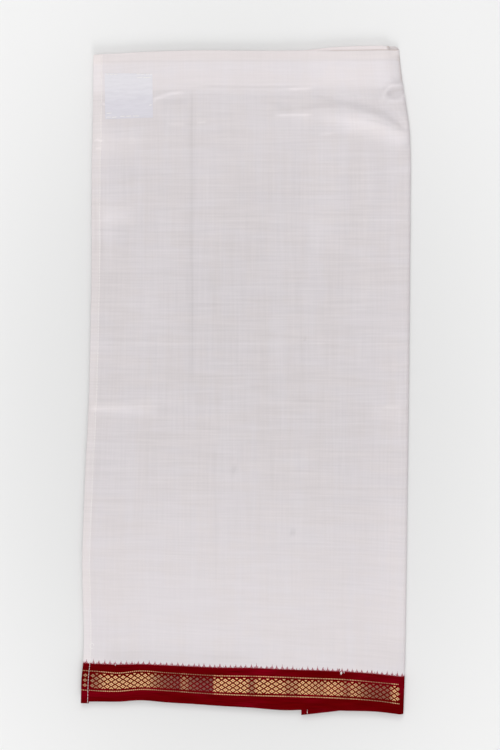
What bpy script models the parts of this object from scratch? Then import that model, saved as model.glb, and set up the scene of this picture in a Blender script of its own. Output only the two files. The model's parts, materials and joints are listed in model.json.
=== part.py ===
"""A dhoti: one long white cloth with a woven maroon and gold border, folded flat.

The cloth is folded in half across its width, so that a fold lies at the top (+Y) and both
selvedges lie at the bottom (-Y). It is then folded over and over along its length. The
outermost leaf is the front: it turns down round the right-hand fold and runs back underneath.
Units are metres, Z is up, and the bundle rests on Z = 0 with its middle over the origin.
"""

from collections import namedtuple

import bmesh
import bpy
import numpy as np

MM = 0.001

# ---- driving dimensions -------------------------------------------------------------------------

WALL = 1.0 * MM  # one leaf: the cloth doubled, with the air between its two layers
GAP = 0.3 * MM  # between neighbouring solids
CORE = 3.2 * MM  # the leaves folded away inside, pressed together
BORDER = 36.6 * MM  # the whole woven border, from the selvedge up
SELVEDGE_STRIPE = 10.8 * MM  # its plain stripe below the zari
ZARI_TOP = 30.0 * MM  # where the zari stripe ends and the upper plain stripe starts
HEM_AT_TOP = 9.2 * MM  # width of the rolled hem at the top of the leaf
HEM_AT_BOTTOM = 7.6 * MM  # and at the selvedge, where the roll is tighter
HEM_THICK = 1.5 * MM
SECOND_HEM = 7.6 * MM  # width of the second end's hem
BACK_INSET = 2.5 * MM  # the back leaf stops this far inside the front leaf's left edge
CORE_INSET = 2.2 * MM  # and the hidden leaves stop this far inside it
LABEL_THICK = 0.4 * MM

# ---- heights, from the surface up ---------------------------------------------------------------

CORE_LOW = WALL + GAP
CORE_HIGH = CORE_LOW + CORE
FRONT_LOW = CORE_HIGH + GAP  # underside of whatever lies next on the folded leaves
FRONT_HIGH = FRONT_LOW + WALL
STEP = WALL + GAP  # the front leaf climbs this much over the second end
STEP_RUN = 7.0 * MM  # and takes this far to do it
FOLD_RADIUS = (FRONT_HIGH + STEP) / 2

# ---- the outline, in millimetres ----------------------------------------------------------------

Side = namedtuple("Side", "y left right")
SIDES = (
    Side(-319.5, -158.2, 150.4),
    Side(-286.6, -157.6, 151.6),
    Side(-270.4, -156.0, 152.1),
    Side(-238.8, -155.1, 152.6),
    Side(-210.2, -155.8, 153.0),
    Side(-172.0, -156.6, 153.6),
    Side(-114.7, -154.7, 154.3),
    Side(-19.2, -150.4, 155.6),
    Side(76.3, -148.1, 156.5),
    Side(171.8, -147.5, 157.3),
    Side(219.6, -147.2, 157.3),
    Side(236.7, -146.8, 156.4),
    Side(267.3, -146.3, 152.3),
    Side(290.0, -146.0, 149.0),
    Side(316.0, -145.6, 146.2),
)

End = namedtuple("End", "x top bottom")
ENDS = (
    End(-157.4, 309.3, -307.2),
    End(-139.6, 310.8, -306.6),
    End(-102.4, 313.0, -305.4),
    End(-74.7, 314.0, -307.6),
    End(-26.0, 314.6, -311.4),
    End(38.0, 314.5, -314.7),
    End(90.5, 314.8, -315.4),
    End(125.9, 315.2, -316.6),
    End(150.7, 315.7, -319.4),
)

# The second cut end: its hem's left edge leans, and its selvedge shows below the front leaf's.
SecondEdge = namedtuple("SecondEdge", "y left")
SECOND_SIDE = (SecondEdge(-320.0, 52.6), SecondEdge(138.4, 42.8), SecondEdge(315.1, 38.7))
SecondEnd = namedtuple("SecondEnd", "x bottom")
SECOND_END = (SecondEnd(52.0, -319.8), SecondEnd(90.5, -315.9), SecondEnd(150.7, -312.5))

# The hidden leaves' folds show past the front leaf's top edge, most of all at the right.
Peek = namedtuple("Peek", "x beyond")
TOP_PEEK = (Peek(-157.4, -2.0), Peek(45.0, -1.0), Peek(70.0, 2.6), Peek(132.0, 4.4), Peek(150.0, 3.8))

# The largest folds: soft ridges that the front leaf makes where it puckers at the right fold.
Ridge = namedtuple("Ridge", "x0 y0 x1 y1 half_width height")
RIDGES = (
    Ridge(30.0, 253.0, 93.0, 258.6, 8.0, 1.2),
    Ridge(112.0, 254.5, 157.0, 230.0, 8.0, 1.9),
    Ridge(80.0, 274.5, 122.0, 267.5, 7.0, 1.2),
    Ridge(136.0, 262.0, 157.0, 241.0, 6.0, 1.3),
    Ridge(131.0, 270.0, 150.0, 281.0, 5.0, 1.2),
    Ridge(-62.0, 278.0, 64.0, 278.0, 6.0, 0.4),
)

# The label, by its corners.
Corner = namedtuple("Corner", "x y")
LABEL = (Corner(-134.6, 249.2), Corner(-89.0, 250.6), Corner(-89.7, 292.6), Corner(-135.3, 293.0))

# ---- rows and columns of the solids -------------------------------------------------------------

LEFT_COLUMNS = 11  # across the front leaf, from its hem to the step over the second end
STEP_COLUMNS = 2  # up the step
RIGHT_COLUMNS = 7  # from the step to the right-hand fold
TURN_COLUMNS = 8  # round the fold
BACK_COLUMNS = 3  # across the back leaf
COARSE_ROW = 46.0 * MM
FINE_ROW = 8.0 * MM
PUCKERED = (215.0 * MM, 292.0 * MM)  # the rows between these places up the leaf are fine ones
PLAIN_ROW = 92.0 * MM  # where nothing bends the cloth
EDGE_ROUNDING = 0.45  # how far a hem's section is rounded, as a share of its thickness
SECOND_COLUMNS = np.linspace(0.0, 1.0, 5)
CORE_SHARES = np.linspace(0.0, 1.0, 13)  # points along each side of the hidden leaves
LEAVES = 4  # lobes that show the hidden leaves' folds along an edge
LOBE_STEPS = 4  # levels to a lobe
LOBE_DEPTH = 0.9 * MM
INNER_RIGHT = FOLD_RADIUS + 0.4 * MM  # the hidden leaves stop this far inside the right-hand fold

COLOURS = {
    "ground": (0.66, 0.62, 0.64),
    "maroon": (0.15, 0.001, 0.003),
    "zari": (0.75, 0.45, 0.18),
    "hem": (0.70, 0.65, 0.66),
    "label": (0.74, 0.72, 0.76),
}
ROUGHNESS = {"ground": 0.62, "maroon": 0.7, "zari": 0.38, "hem": 0.7, "label": 0.45}
METALLIC = {"zari": 0.6}

COLLECTION = "dhoti_cloth"


# ---- the outline as functions -------------------------------------------------------------------


def read(table, place, value, at):
    """One column of a table, read at a place along another; at and the answer are in metres."""
    places = [getattr(row, place) * MM for row in table]
    values = [getattr(row, value) * MM for row in table]
    return np.interp(at, places, values)


def left(y):
    return read(SIDES, "y", "left", y)


def right(y):
    return read(SIDES, "y", "right", y)


def top(x):
    return read(ENDS, "x", "top", x)


def bottom(x):
    return read(ENDS, "x", "bottom", x)


def second_left(y):
    return read(SECOND_SIDE, "y", "left", y)


def second_bottom(x):
    return read(SECOND_END, "x", "bottom", x)


def top_of_folds(x):
    """Where the hidden leaves' folds end at the top."""
    return top(x) + read(TOP_PEEK, "x", "beyond", x)


def hem_width(y):
    """The first end's hem narrows evenly from the top of the leaf to the selvedge."""
    return np.interp(y, [bottom(0.0), top(0.0)], [HEM_AT_BOTTOM, HEM_AT_TOP])


def smooth(value, low, high):
    """0 below low and 1 above high, with a soft rise between them."""
    t = np.clip((value - low) / (high - low), 0.0, 1.0)
    return t * t * (3.0 - 2.0 * t)


def ridge_height(x, y):
    """The sum of the ridges: each is a bell across its line and fades out past its two ends."""
    total = 0.0
    for ridge in RIDGES:
        start = np.array([ridge.x0, ridge.y0]) * MM
        line = np.array([ridge.x1, ridge.y1]) * MM - start
        length = np.hypot(*line)
        along = ((x - start[0]) * line[0] + (y - start[1]) * line[1]) / length
        across = ((x - start[0]) * line[1] - (y - start[1]) * line[0]) / length
        beyond = max(0.0, -along, along - length)
        distance = np.hypot(across, beyond) / (ridge.half_width * MM)
        total += ridge.height * MM * np.exp(-distance * distance)
    return total


def front_height(x, y):
    """The front leaf's upper face: it steps up over the second end and rises into its folds."""
    head = second_left(y) - GAP
    over = smooth(x, head - STEP_RUN, head)
    return FRONT_HIGH + STEP * over + ridge_height(x, y)


# ---- the weave's stripes ------------------------------------------------------------------------

Stripe = namedtuple("Stripe", "name low high finish")


def leaf_height():
    return top(0.0) - bottom(0.0)


def stripes(ground_finish):
    """The stripes from the selvedge up, each GAP clear of the next, by height up the leaf."""
    return (
        Stripe("border_lower", 0.0, SELVEDGE_STRIPE - GAP / 2, "maroon"),
        Stripe("zari", SELVEDGE_STRIPE + GAP / 2, ZARI_TOP - GAP / 2, "zari"),
        Stripe("border_upper", ZARI_TOP + GAP / 2, BORDER - GAP / 2, "maroon"),
        Stripe("cloth", BORDER + GAP / 2, leaf_height(), ground_finish),
    )


def stripe_rows(stripe, coarse_row):
    """A stripe's rows, as shares of the leaf's height: finer where the leaf is puckered."""
    marks = [stripe.low]
    while marks[-1] < stripe.high:
        y = bottom(0.0) + marks[-1]
        fine = coarse_row == COARSE_ROW and PUCKERED[0] <= y < PUCKERED[1]
        marks.append(marks[-1] + (FINE_ROW if fine else coarse_row))
    marks = np.array(marks)
    scale = (stripe.high - stripe.low) / (marks[-1] - stripe.low)
    return (stripe.low + (marks - stripe.low) * scale) / leaf_height()


# ---- building blocks ----------------------------------------------------------------------------


def material(finish):
    """A plain Principled material, made once for each finish."""
    made = bpy.data.materials.get(finish)
    if made is None:
        made = bpy.data.materials.new(finish)
        made.use_nodes = True
        shader = made.node_tree.nodes["Principled BSDF"]
        shader.inputs["Base Color"].default_value = (*COLOURS[finish], 1.0)
        shader.inputs["Roughness"].default_value = ROUGHNESS[finish]
        shader.inputs["Metallic"].default_value = METALLIC.get(finish, 0.0)
    return made


def add_object(name, bm, finish):
    """Puts a finished bmesh into the dhoti's collection as one named object."""
    mesh = bpy.data.meshes.new(name)
    bm.to_mesh(mesh)
    bm.free()
    mesh.materials.append(material(finish))
    obj = bpy.data.objects.new(name, mesh)
    bpy.data.collections[COLLECTION].objects.link(obj)
    return obj


def sheet(name, finish, columns, rows, place, wall):
    """A grid whose columns and rows are mapped by place(column, row), thickened inwards."""
    bm = bmesh.new()
    across, up = len(columns) - 1, len(rows) - 1
    bmesh.ops.create_grid(bm, x_segments=across, y_segments=up, size=0.5)
    for vert in bm.verts:
        column = columns[round((vert.co.x + 0.5) * across)]
        row = rows[round((vert.co.y + 0.5) * up)]
        vert.co = place(column, row)
    obj = add_object(name, bm, finish)
    solidify = obj.modifiers.new("wall", "SOLIDIFY")
    solidify.thickness = wall
    solidify.offset = -1.0
    solidify.use_even_offset = True
    return obj


def loft(name, finish, rings):
    """A closed solid through rings of points: a flat cap at each end and quads between."""
    bm = bmesh.new()
    loops = [[bm.verts.new(point) for point in ring] for ring in rings]
    for lower, upper in zip(loops, loops[1:]):
        for i, corner in enumerate(lower):
            following = (i + 1) % len(lower)
            bm.faces.new((corner, lower[following], upper[following], upper[i]))
    bm.faces.new(reversed(loops[0]))
    bm.faces.new(loops[-1])
    bmesh.ops.recalc_face_normals(bm, faces=bm.faces)
    return add_object(name, bm, finish)


# ---- the front leaf, round the fold and along the underside -------------------------------------

TURN, BACK = 3.0, 4.0  # where the fold and the back leaf start, in front_columns()


def front_columns():
    """Steps along the leaf, one unit for each stretch: left, step, right, fold and back."""
    counts = (LEFT_COLUMNS, STEP_COLUMNS, RIGHT_COLUMNS, TURN_COLUMNS, BACK_COLUMNS)
    steps = [stretch + np.arange(count) / count for stretch, count in enumerate(counts)]
    return np.append(np.concatenate(steps), float(len(counts)))


def up_the_leaf(x, height, low_edge=bottom):
    """Y of a point this far above the selvedge; at the leaf's full height it is on the top edge."""
    full = top(x) - low_edge(x)
    return low_edge(x) + height * full


def front_place(column, height):
    """A point on the leaf's outer face. height runs from 0 at the selvedge to 1 at the top fold."""
    x = 0.0
    for _ in range(4):  # x and y depend on each other only weakly, so this settles at once
        y = up_the_leaf(x, height)
        start = left(y) + hem_width(y) + GAP
        head = second_left(y) - GAP
        turn = right(y) - FOLD_RADIUS
        if column <= TURN:
            x = np.interp(column, [0.0, 1.0, 2.0, TURN], [start, head - STEP_RUN, head, turn])
        elif column <= BACK:
            x = turn + FOLD_RADIUS * np.sin((column - TURN) * np.pi)
        else:
            x = turn + (left(y) + BACK_INSET - turn) * (column - BACK)
    if column <= TURN:
        return x, y, front_height(x, y)
    if column <= BACK:
        half = front_height(turn, y) / 2
        return x, y, half * (1.0 + np.cos((column - TURN) * np.pi))
    return x, y, 0.0


def build_front():
    for stripe in stripes("ground"):
        rows = stripe_rows(stripe, COARSE_ROW)
        sheet(f"front_{stripe.name}", stripe.finish, front_columns(), rows, front_place, WALL)


# ---- the rolled hems ----------------------------------------------------------------------------


def rolled_section(x0, x1, y, low, thick):
    """A flat oval across a hem: straight above and below, with rounded edges."""
    bulge = thick * EDGE_ROUNDING
    high = low + thick
    return [
        (x0 + bulge, y, low),
        (x1 - bulge, y, low),
        (x1, y, low + bulge),
        (x1, y, high - bulge),
        (x1 - bulge, y, high),
        (x0 + bulge, y, high),
        (x0, y, high - bulge),
        (x0, y, low + bulge),
    ]


def hem(prefix, edge, width, low_edge, thick):
    """A hem down a cut end, in the weave's own stripes."""
    for stripe in stripes("hem"):
        rings = []
        for height in stripe_rows(stripe, COARSE_ROW):
            y = up_the_leaf(edge(0.0), height, low_edge)
            x0 = edge(y)
            rings.append(rolled_section(x0, x0 + width(y), y, FRONT_LOW, thick))
        loft(f"{prefix}_{stripe.name}", stripe.finish, rings)


# ---- the second cut end, under the front leaf ---------------------------------------------------


def second_place(column, height):
    """A point on the upper face of the second end, from its hem to the start of the fold."""
    x = second_left(0.0)
    for _ in range(4):
        y = up_the_leaf(x, height, second_bottom)
        start = second_left(y) + SECOND_HEM + GAP
        x = start + (right(y) - FOLD_RADIUS - start) * column
    return x, y, FRONT_HIGH


def build_second():
    for stripe in stripes("ground"):
        rows = stripe_rows(stripe, PLAIN_ROW)
        sheet(f"second_{stripe.name}", stripe.finish, SECOND_COLUMNS, rows, second_place, WALL)


# ---- the hidden leaves --------------------------------------------------------------------------


def lobe_levels():
    """Heights through the core, with how far each is drawn in: out at a fold, in between two."""
    steps = np.linspace(0.0, 1.0, LOBE_STEPS * LEAVES + 1)
    drawn_in = LOBE_DEPTH * np.cos(steps * LEAVES * np.pi) ** 2
    return zip(CORE_LOW + steps * CORE, drawn_in)


def core_place(across, up, drawn_in, low, high):
    """A point of the hidden leaves' plan, from shares of the way across and up.

    A low of None is the selvedges' own edge, and a high of None is the folds at the top.
    """

    def between(x):
        lower = bottom(x) + (CORE_INSET + drawn_in if low is None else low)
        upper = top_of_folds(x) - drawn_in if high is None else bottom(x) + high
        return lower + (upper - lower) * up

    y = between(0.0)
    x_left = left(y) + CORE_INSET + drawn_in
    x_right = right(y) - INNER_RIGHT - drawn_in
    x = x_left + (x_right - x_left) * across
    return x, between(x)


def core_solid(name, finish, low, high):
    """The hidden leaves as a pile of outlines: a grid above and below, lobes round the sides."""
    last = len(CORE_SHARES) - 1
    grid = [(i, j) for j in range(last + 1) for i in range(last + 1)]
    around = [(i, 0) for i in range(last)] + [(last, j) for j in range(last)]
    around += [(i, last) for i in range(last, 0, -1)] + [(0, j) for j in range(last, 0, -1)]
    levels = list(lobe_levels())
    bm = bmesh.new()
    points = []
    for level, (z, drawn_in) in enumerate(levels):
        kept = grid if level in (0, len(levels) - 1) else around
        points.append({})
        for i, j in kept:
            place = core_place(CORE_SHARES[i], CORE_SHARES[j], drawn_in, low, high)
            points[level][i, j] = bm.verts.new((*place, z))
    for lower, upper in zip(points, points[1:]):
        for here, there in zip(around, around[1:] + around[:1]):
            bm.faces.new((lower[here], lower[there], upper[there], upper[here]))
    for i, j in ((i, j) for i, j in grid if i < last and j < last):
        square = ((i, j), (i + 1, j), (i + 1, j + 1), (i, j + 1))
        bm.faces.new([points[-1][corner] for corner in square])
        bm.faces.new([points[0][corner] for corner in reversed(square)])
    return add_object(name, bm, finish)


def build_core():
    core_solid("folded_border", "maroon", None, BORDER - GAP / 2)
    core_solid("folded_cloth", "ground", BORDER + GAP / 2, None)


# ---- the label ----------------------------------------------------------------------------------


def label_place(column, row):
    """Between the label's four corners, lifted clear of the front leaf's own face."""
    low, low_far, high_far, high = (np.array(corner) * MM for corner in LABEL)
    below = low + (low_far - low) * column
    above = high + (high_far - high) * column
    x, y = below + (above - below) * row
    return x, y, front_height(x, y) + GAP + LABEL_THICK


def build_label():
    steps = np.linspace(0.0, 1.0, 4)
    sheet("label", "label", steps, steps, label_place, LABEL_THICK)


# ---- the whole dhoti ----------------------------------------------------------------------------


def main():
    for old in list(bpy.data.objects):
        bpy.data.objects.remove(old, do_unlink=True)
    dhoti = bpy.data.collections.new(COLLECTION)
    bpy.context.scene.collection.children.link(dhoti)
    build_core()
    build_second()
    hem("second_hem", second_left, lambda y: SECOND_HEM, second_bottom, WALL)
    build_front()
    hem("hem", left, hem_width, bottom, HEM_THICK)
    build_label()


main()
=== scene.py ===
"""A dhoti, folded flat: its leaves, rolled hems, maroon border, zari band, label and stitches.

The cloth is doubled across its width, so every leaf is a hairpin: two layers joined by a fold at
the top (+Y), with both selvedges at the bottom (-Y). The doubled cloth is then folded over and
over along its length, twelve leaves deep. Each cloth piece below is one surface M(s, t): s runs
along the folded route, and t runs up one layer, over the top fold and down the other.
Everything is in metres, +Z up, and rests on Z = 0.
"""

import json
from collections import namedtuple

import bpy
import numpy as np
from bpy.props import FloatProperty, FloatVectorProperty, PointerProperty
from bpy.types import Operator, Panel, PropertyGroup
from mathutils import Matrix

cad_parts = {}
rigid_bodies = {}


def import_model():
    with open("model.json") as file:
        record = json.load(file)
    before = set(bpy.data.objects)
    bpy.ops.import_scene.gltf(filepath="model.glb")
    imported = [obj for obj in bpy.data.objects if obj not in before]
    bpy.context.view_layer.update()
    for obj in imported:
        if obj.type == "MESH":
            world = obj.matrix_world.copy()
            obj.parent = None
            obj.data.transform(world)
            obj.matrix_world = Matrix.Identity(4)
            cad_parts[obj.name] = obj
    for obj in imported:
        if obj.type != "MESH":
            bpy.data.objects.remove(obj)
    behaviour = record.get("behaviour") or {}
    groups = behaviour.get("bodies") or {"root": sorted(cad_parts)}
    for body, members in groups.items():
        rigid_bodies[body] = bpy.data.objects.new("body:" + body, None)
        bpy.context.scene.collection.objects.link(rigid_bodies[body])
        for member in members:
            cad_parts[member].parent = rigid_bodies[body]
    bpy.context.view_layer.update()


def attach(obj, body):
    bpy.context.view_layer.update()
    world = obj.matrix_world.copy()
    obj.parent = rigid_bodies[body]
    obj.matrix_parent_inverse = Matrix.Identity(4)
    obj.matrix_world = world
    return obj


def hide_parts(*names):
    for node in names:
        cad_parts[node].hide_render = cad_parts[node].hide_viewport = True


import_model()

bl_info = {
    "name": "Folded dhoti",
    "version": (1, 0, 0),
    "blender": (4, 5, 0),
    "location": "View3D > Sidebar > Dhoti",
    "description": "Builds a dhoti cloth, folded flat, around its packed solids",
    "category": "Object",
}

MM = 0.001
BODY = "root"
WEAVE_UV = "weave"


def table(columns, rows):
    """Rows whose values go by their columns' names."""
    Row = namedtuple("Row", columns)
    return [Row(*row) for row in rows]


# ---- the outline, in millimetres ----------------------------------------------------------------

SIDES = table("y left right", (
    (-319.5, -158.2, 150.4), (-305.7, -158.0, 150.9), (-286.6, -157.6, 151.6),
    (-270.4, -156.0, 152.1), (-238.8, -155.1, 152.6), (-210.2, -155.8, 153.0),
    (-172.0, -156.6, 153.6), (-114.7, -154.7, 154.3), (-19.2, -150.4, 155.6),
    (76.3, -148.1, 156.5), (171.8, -147.5, 157.3), (219.6, -147.2, 157.3), (236.7, -146.8, 156.4),
    (267.3, -146.3, 152.3), (290.0, -146.0, 149.0), (316.0, -145.6, 146.2),
))

# The border's own lines: the selvedge, the two bead lines and the edge of the white ground.
BANDS = table("x selvedge low_line high_line red_top", (
    (-157.4, -307.2, -295.7, -277.3, -270.2),
    (-139.6, -307.3, -297.1, -278.6, -271.3),
    (-122.0, -307.4, -297.4, -280.0, -271.9),
    (-102.4, -306.1, -295.7, -278.0, -271.6),
    (-74.7, -308.2, -296.9, -279.8, -272.7),
    (-47.9, -309.8, -298.9, -281.5, -273.9),
    (-26.0, -311.4, -300.2, -282.6, -274.8),
    (3.6, -313.1, -301.4, -283.0, -275.1),
    (38.0, -315.6, -302.2, -284.1, -276.6),
    (63.8, -314.9, -302.9, -285.0, -277.3),
    (90.5, -315.9, -304.0, -285.9, -278.4),
    (125.9, -317.0, -306.6, -288.9, -280.9),
    (150.7, -320.0, -310.0, -291.4, -283.6),
))

ENDS = table("x top", (
    (-157.4, 309.3), (-139.6, 310.8), (-120.5, 311.8), (-102.4, 313.0), (-74.7, 314.0),
    (-47.9, 314.7), (3.6, 314.4), (63.8, 314.6), (108.7, 315.0), (150.7, 315.7),
))

# The second cut end: where its hem's left edge runs, and how its selvedge shows past the front's.
SECOND_SIDE = table("y left", (
    (-320.0, 52.6), (138.4, 42.8), (315.1, 38.7),
))
SECOND_END = table("x below", (
    (52.0, 5.0), (64.3, 4.0), (76.2, 2.3), (94.0, -0.6), (150.7, -3.0),
))

# How far the inner leaves' folds show past the front leaf's top edge.
TOP_PEEK = table("x beyond", (
    (-157.4, -2.0), (30.0, -1.6), (52.0, 0.3), (75.0, 3.0), (132.0, 4.4), (150.0, 3.8),
))

# ---- the weave's stripes, in millimetres up from the selvedge -----------------------------------

LOW_LINE = 10.6
HIGH_LINE = 28.9
BORDER = 36.6
RED_TOP_LEVEL = -276.0  # where the white ground starts on average, in Y
TOP_LEVEL = 314.5  # where the top fold lies on average, in Y
LEAF = TOP_LEVEL - RED_TOP_LEVEL + BORDER  # from the selvedge to the top fold

STRAIGHT_BY = 0.55 * LEAF  # up here the threads no longer follow the border's edge
TOP_FROM = 0.7 * LEAF  # and from here on they bend to the top fold
UPPER_FROM = 0.45 * LEAF  # above, a leaf strays at its top fold, and below at its selvedge

HEM_AT_TOP = 9.2
HEM_AT_BOTTOM = 7.6

# ---- small numeric helpers ----------------------------------------------------------------------


def smooth(value, low, high):
    """0 below low, 1 above high and t * t * (3 - 2t) between them."""
    t = np.clip((value - low) / (high - low), 0.0, 1.0)
    return t * t * (3.0 - 2.0 * t)


def column(table, name):
    """One column of a table, as an array."""
    return np.array([getattr(row, name) for row in table], dtype=float)


def curve(table, place, value, at):
    """A table's column as a smooth curve through its rows: a cubic between each two rows, whose
    slope at a row is that of the parabola through it and its neighbours. Held level past the ends.
    """
    places, values = column(table, place), column(table, value)
    slopes = np.gradient(values, places)
    at = np.clip(at, places[0], places[-1])
    i = np.clip(np.searchsorted(places, at) - 1, 0, len(places) - 2)
    step = places[i + 1] - places[i]
    t = (at - places[i]) / step
    rise = values[i + 1] - values[i]
    a = slopes[i] * step - rise
    b = rise - slopes[i + 1] * step
    return values[i] + t * rise + t * (1.0 - t) * ((1.0 - t) * a + t * b)


def left(y):
    """X of the folded cloth's left edge at y."""
    return curve(SIDES, "y", "left", y)


def right(y):
    """X of its right edge at y."""
    return curve(SIDES, "y", "right", y)


def second_left(y):
    """X of the second cut end at y, which is the outer edge of its hem."""
    return curve(SECOND_SIDE, "y", "left", y)


def hem_width(y):
    """The first end's hem narrows evenly from the top fold to the selvedge."""
    return np.interp(y, [RED_TOP_LEVEL - BORDER, TOP_LEVEL], [HEM_AT_BOTTOM, HEM_AT_TOP])


def weft_y(x, v):
    """Y at x of the thread that lies v up from the selvedge.

    In the border it is shared out between the border's own lines. Above, it is v in millimetres,
    bent to the border's edge near the bottom and to the top fold near the top.
    """
    selvedge, low, high, red = (curve(BANDS, "x", name, x) for name in BANDS[0]._fields[1:])
    in_border = (
        selvedge
        + (low - selvedge) * np.clip(v / LOW_LINE, 0.0, 1.0)
        + (high - low) * np.clip((v - LOW_LINE) / (HIGH_LINE - LOW_LINE), 0.0, 1.0)
        + (red - high) * np.clip((v - HIGH_LINE) / (BORDER - HIGH_LINE), 0.0, 1.0)
    )
    above = np.maximum(v - BORDER, 0.0)
    straightened = (RED_TOP_LEVEL - red) * smooth(v, BORDER, STRAIGHT_BY)
    at_top = (curve(ENDS, "x", "top", x) - TOP_LEVEL) * smooth(v, TOP_FROM, LEAF)
    return in_border + above + straightened + at_top


# ---- creases of the front leaf ------------------------------------------------------------------

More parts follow.
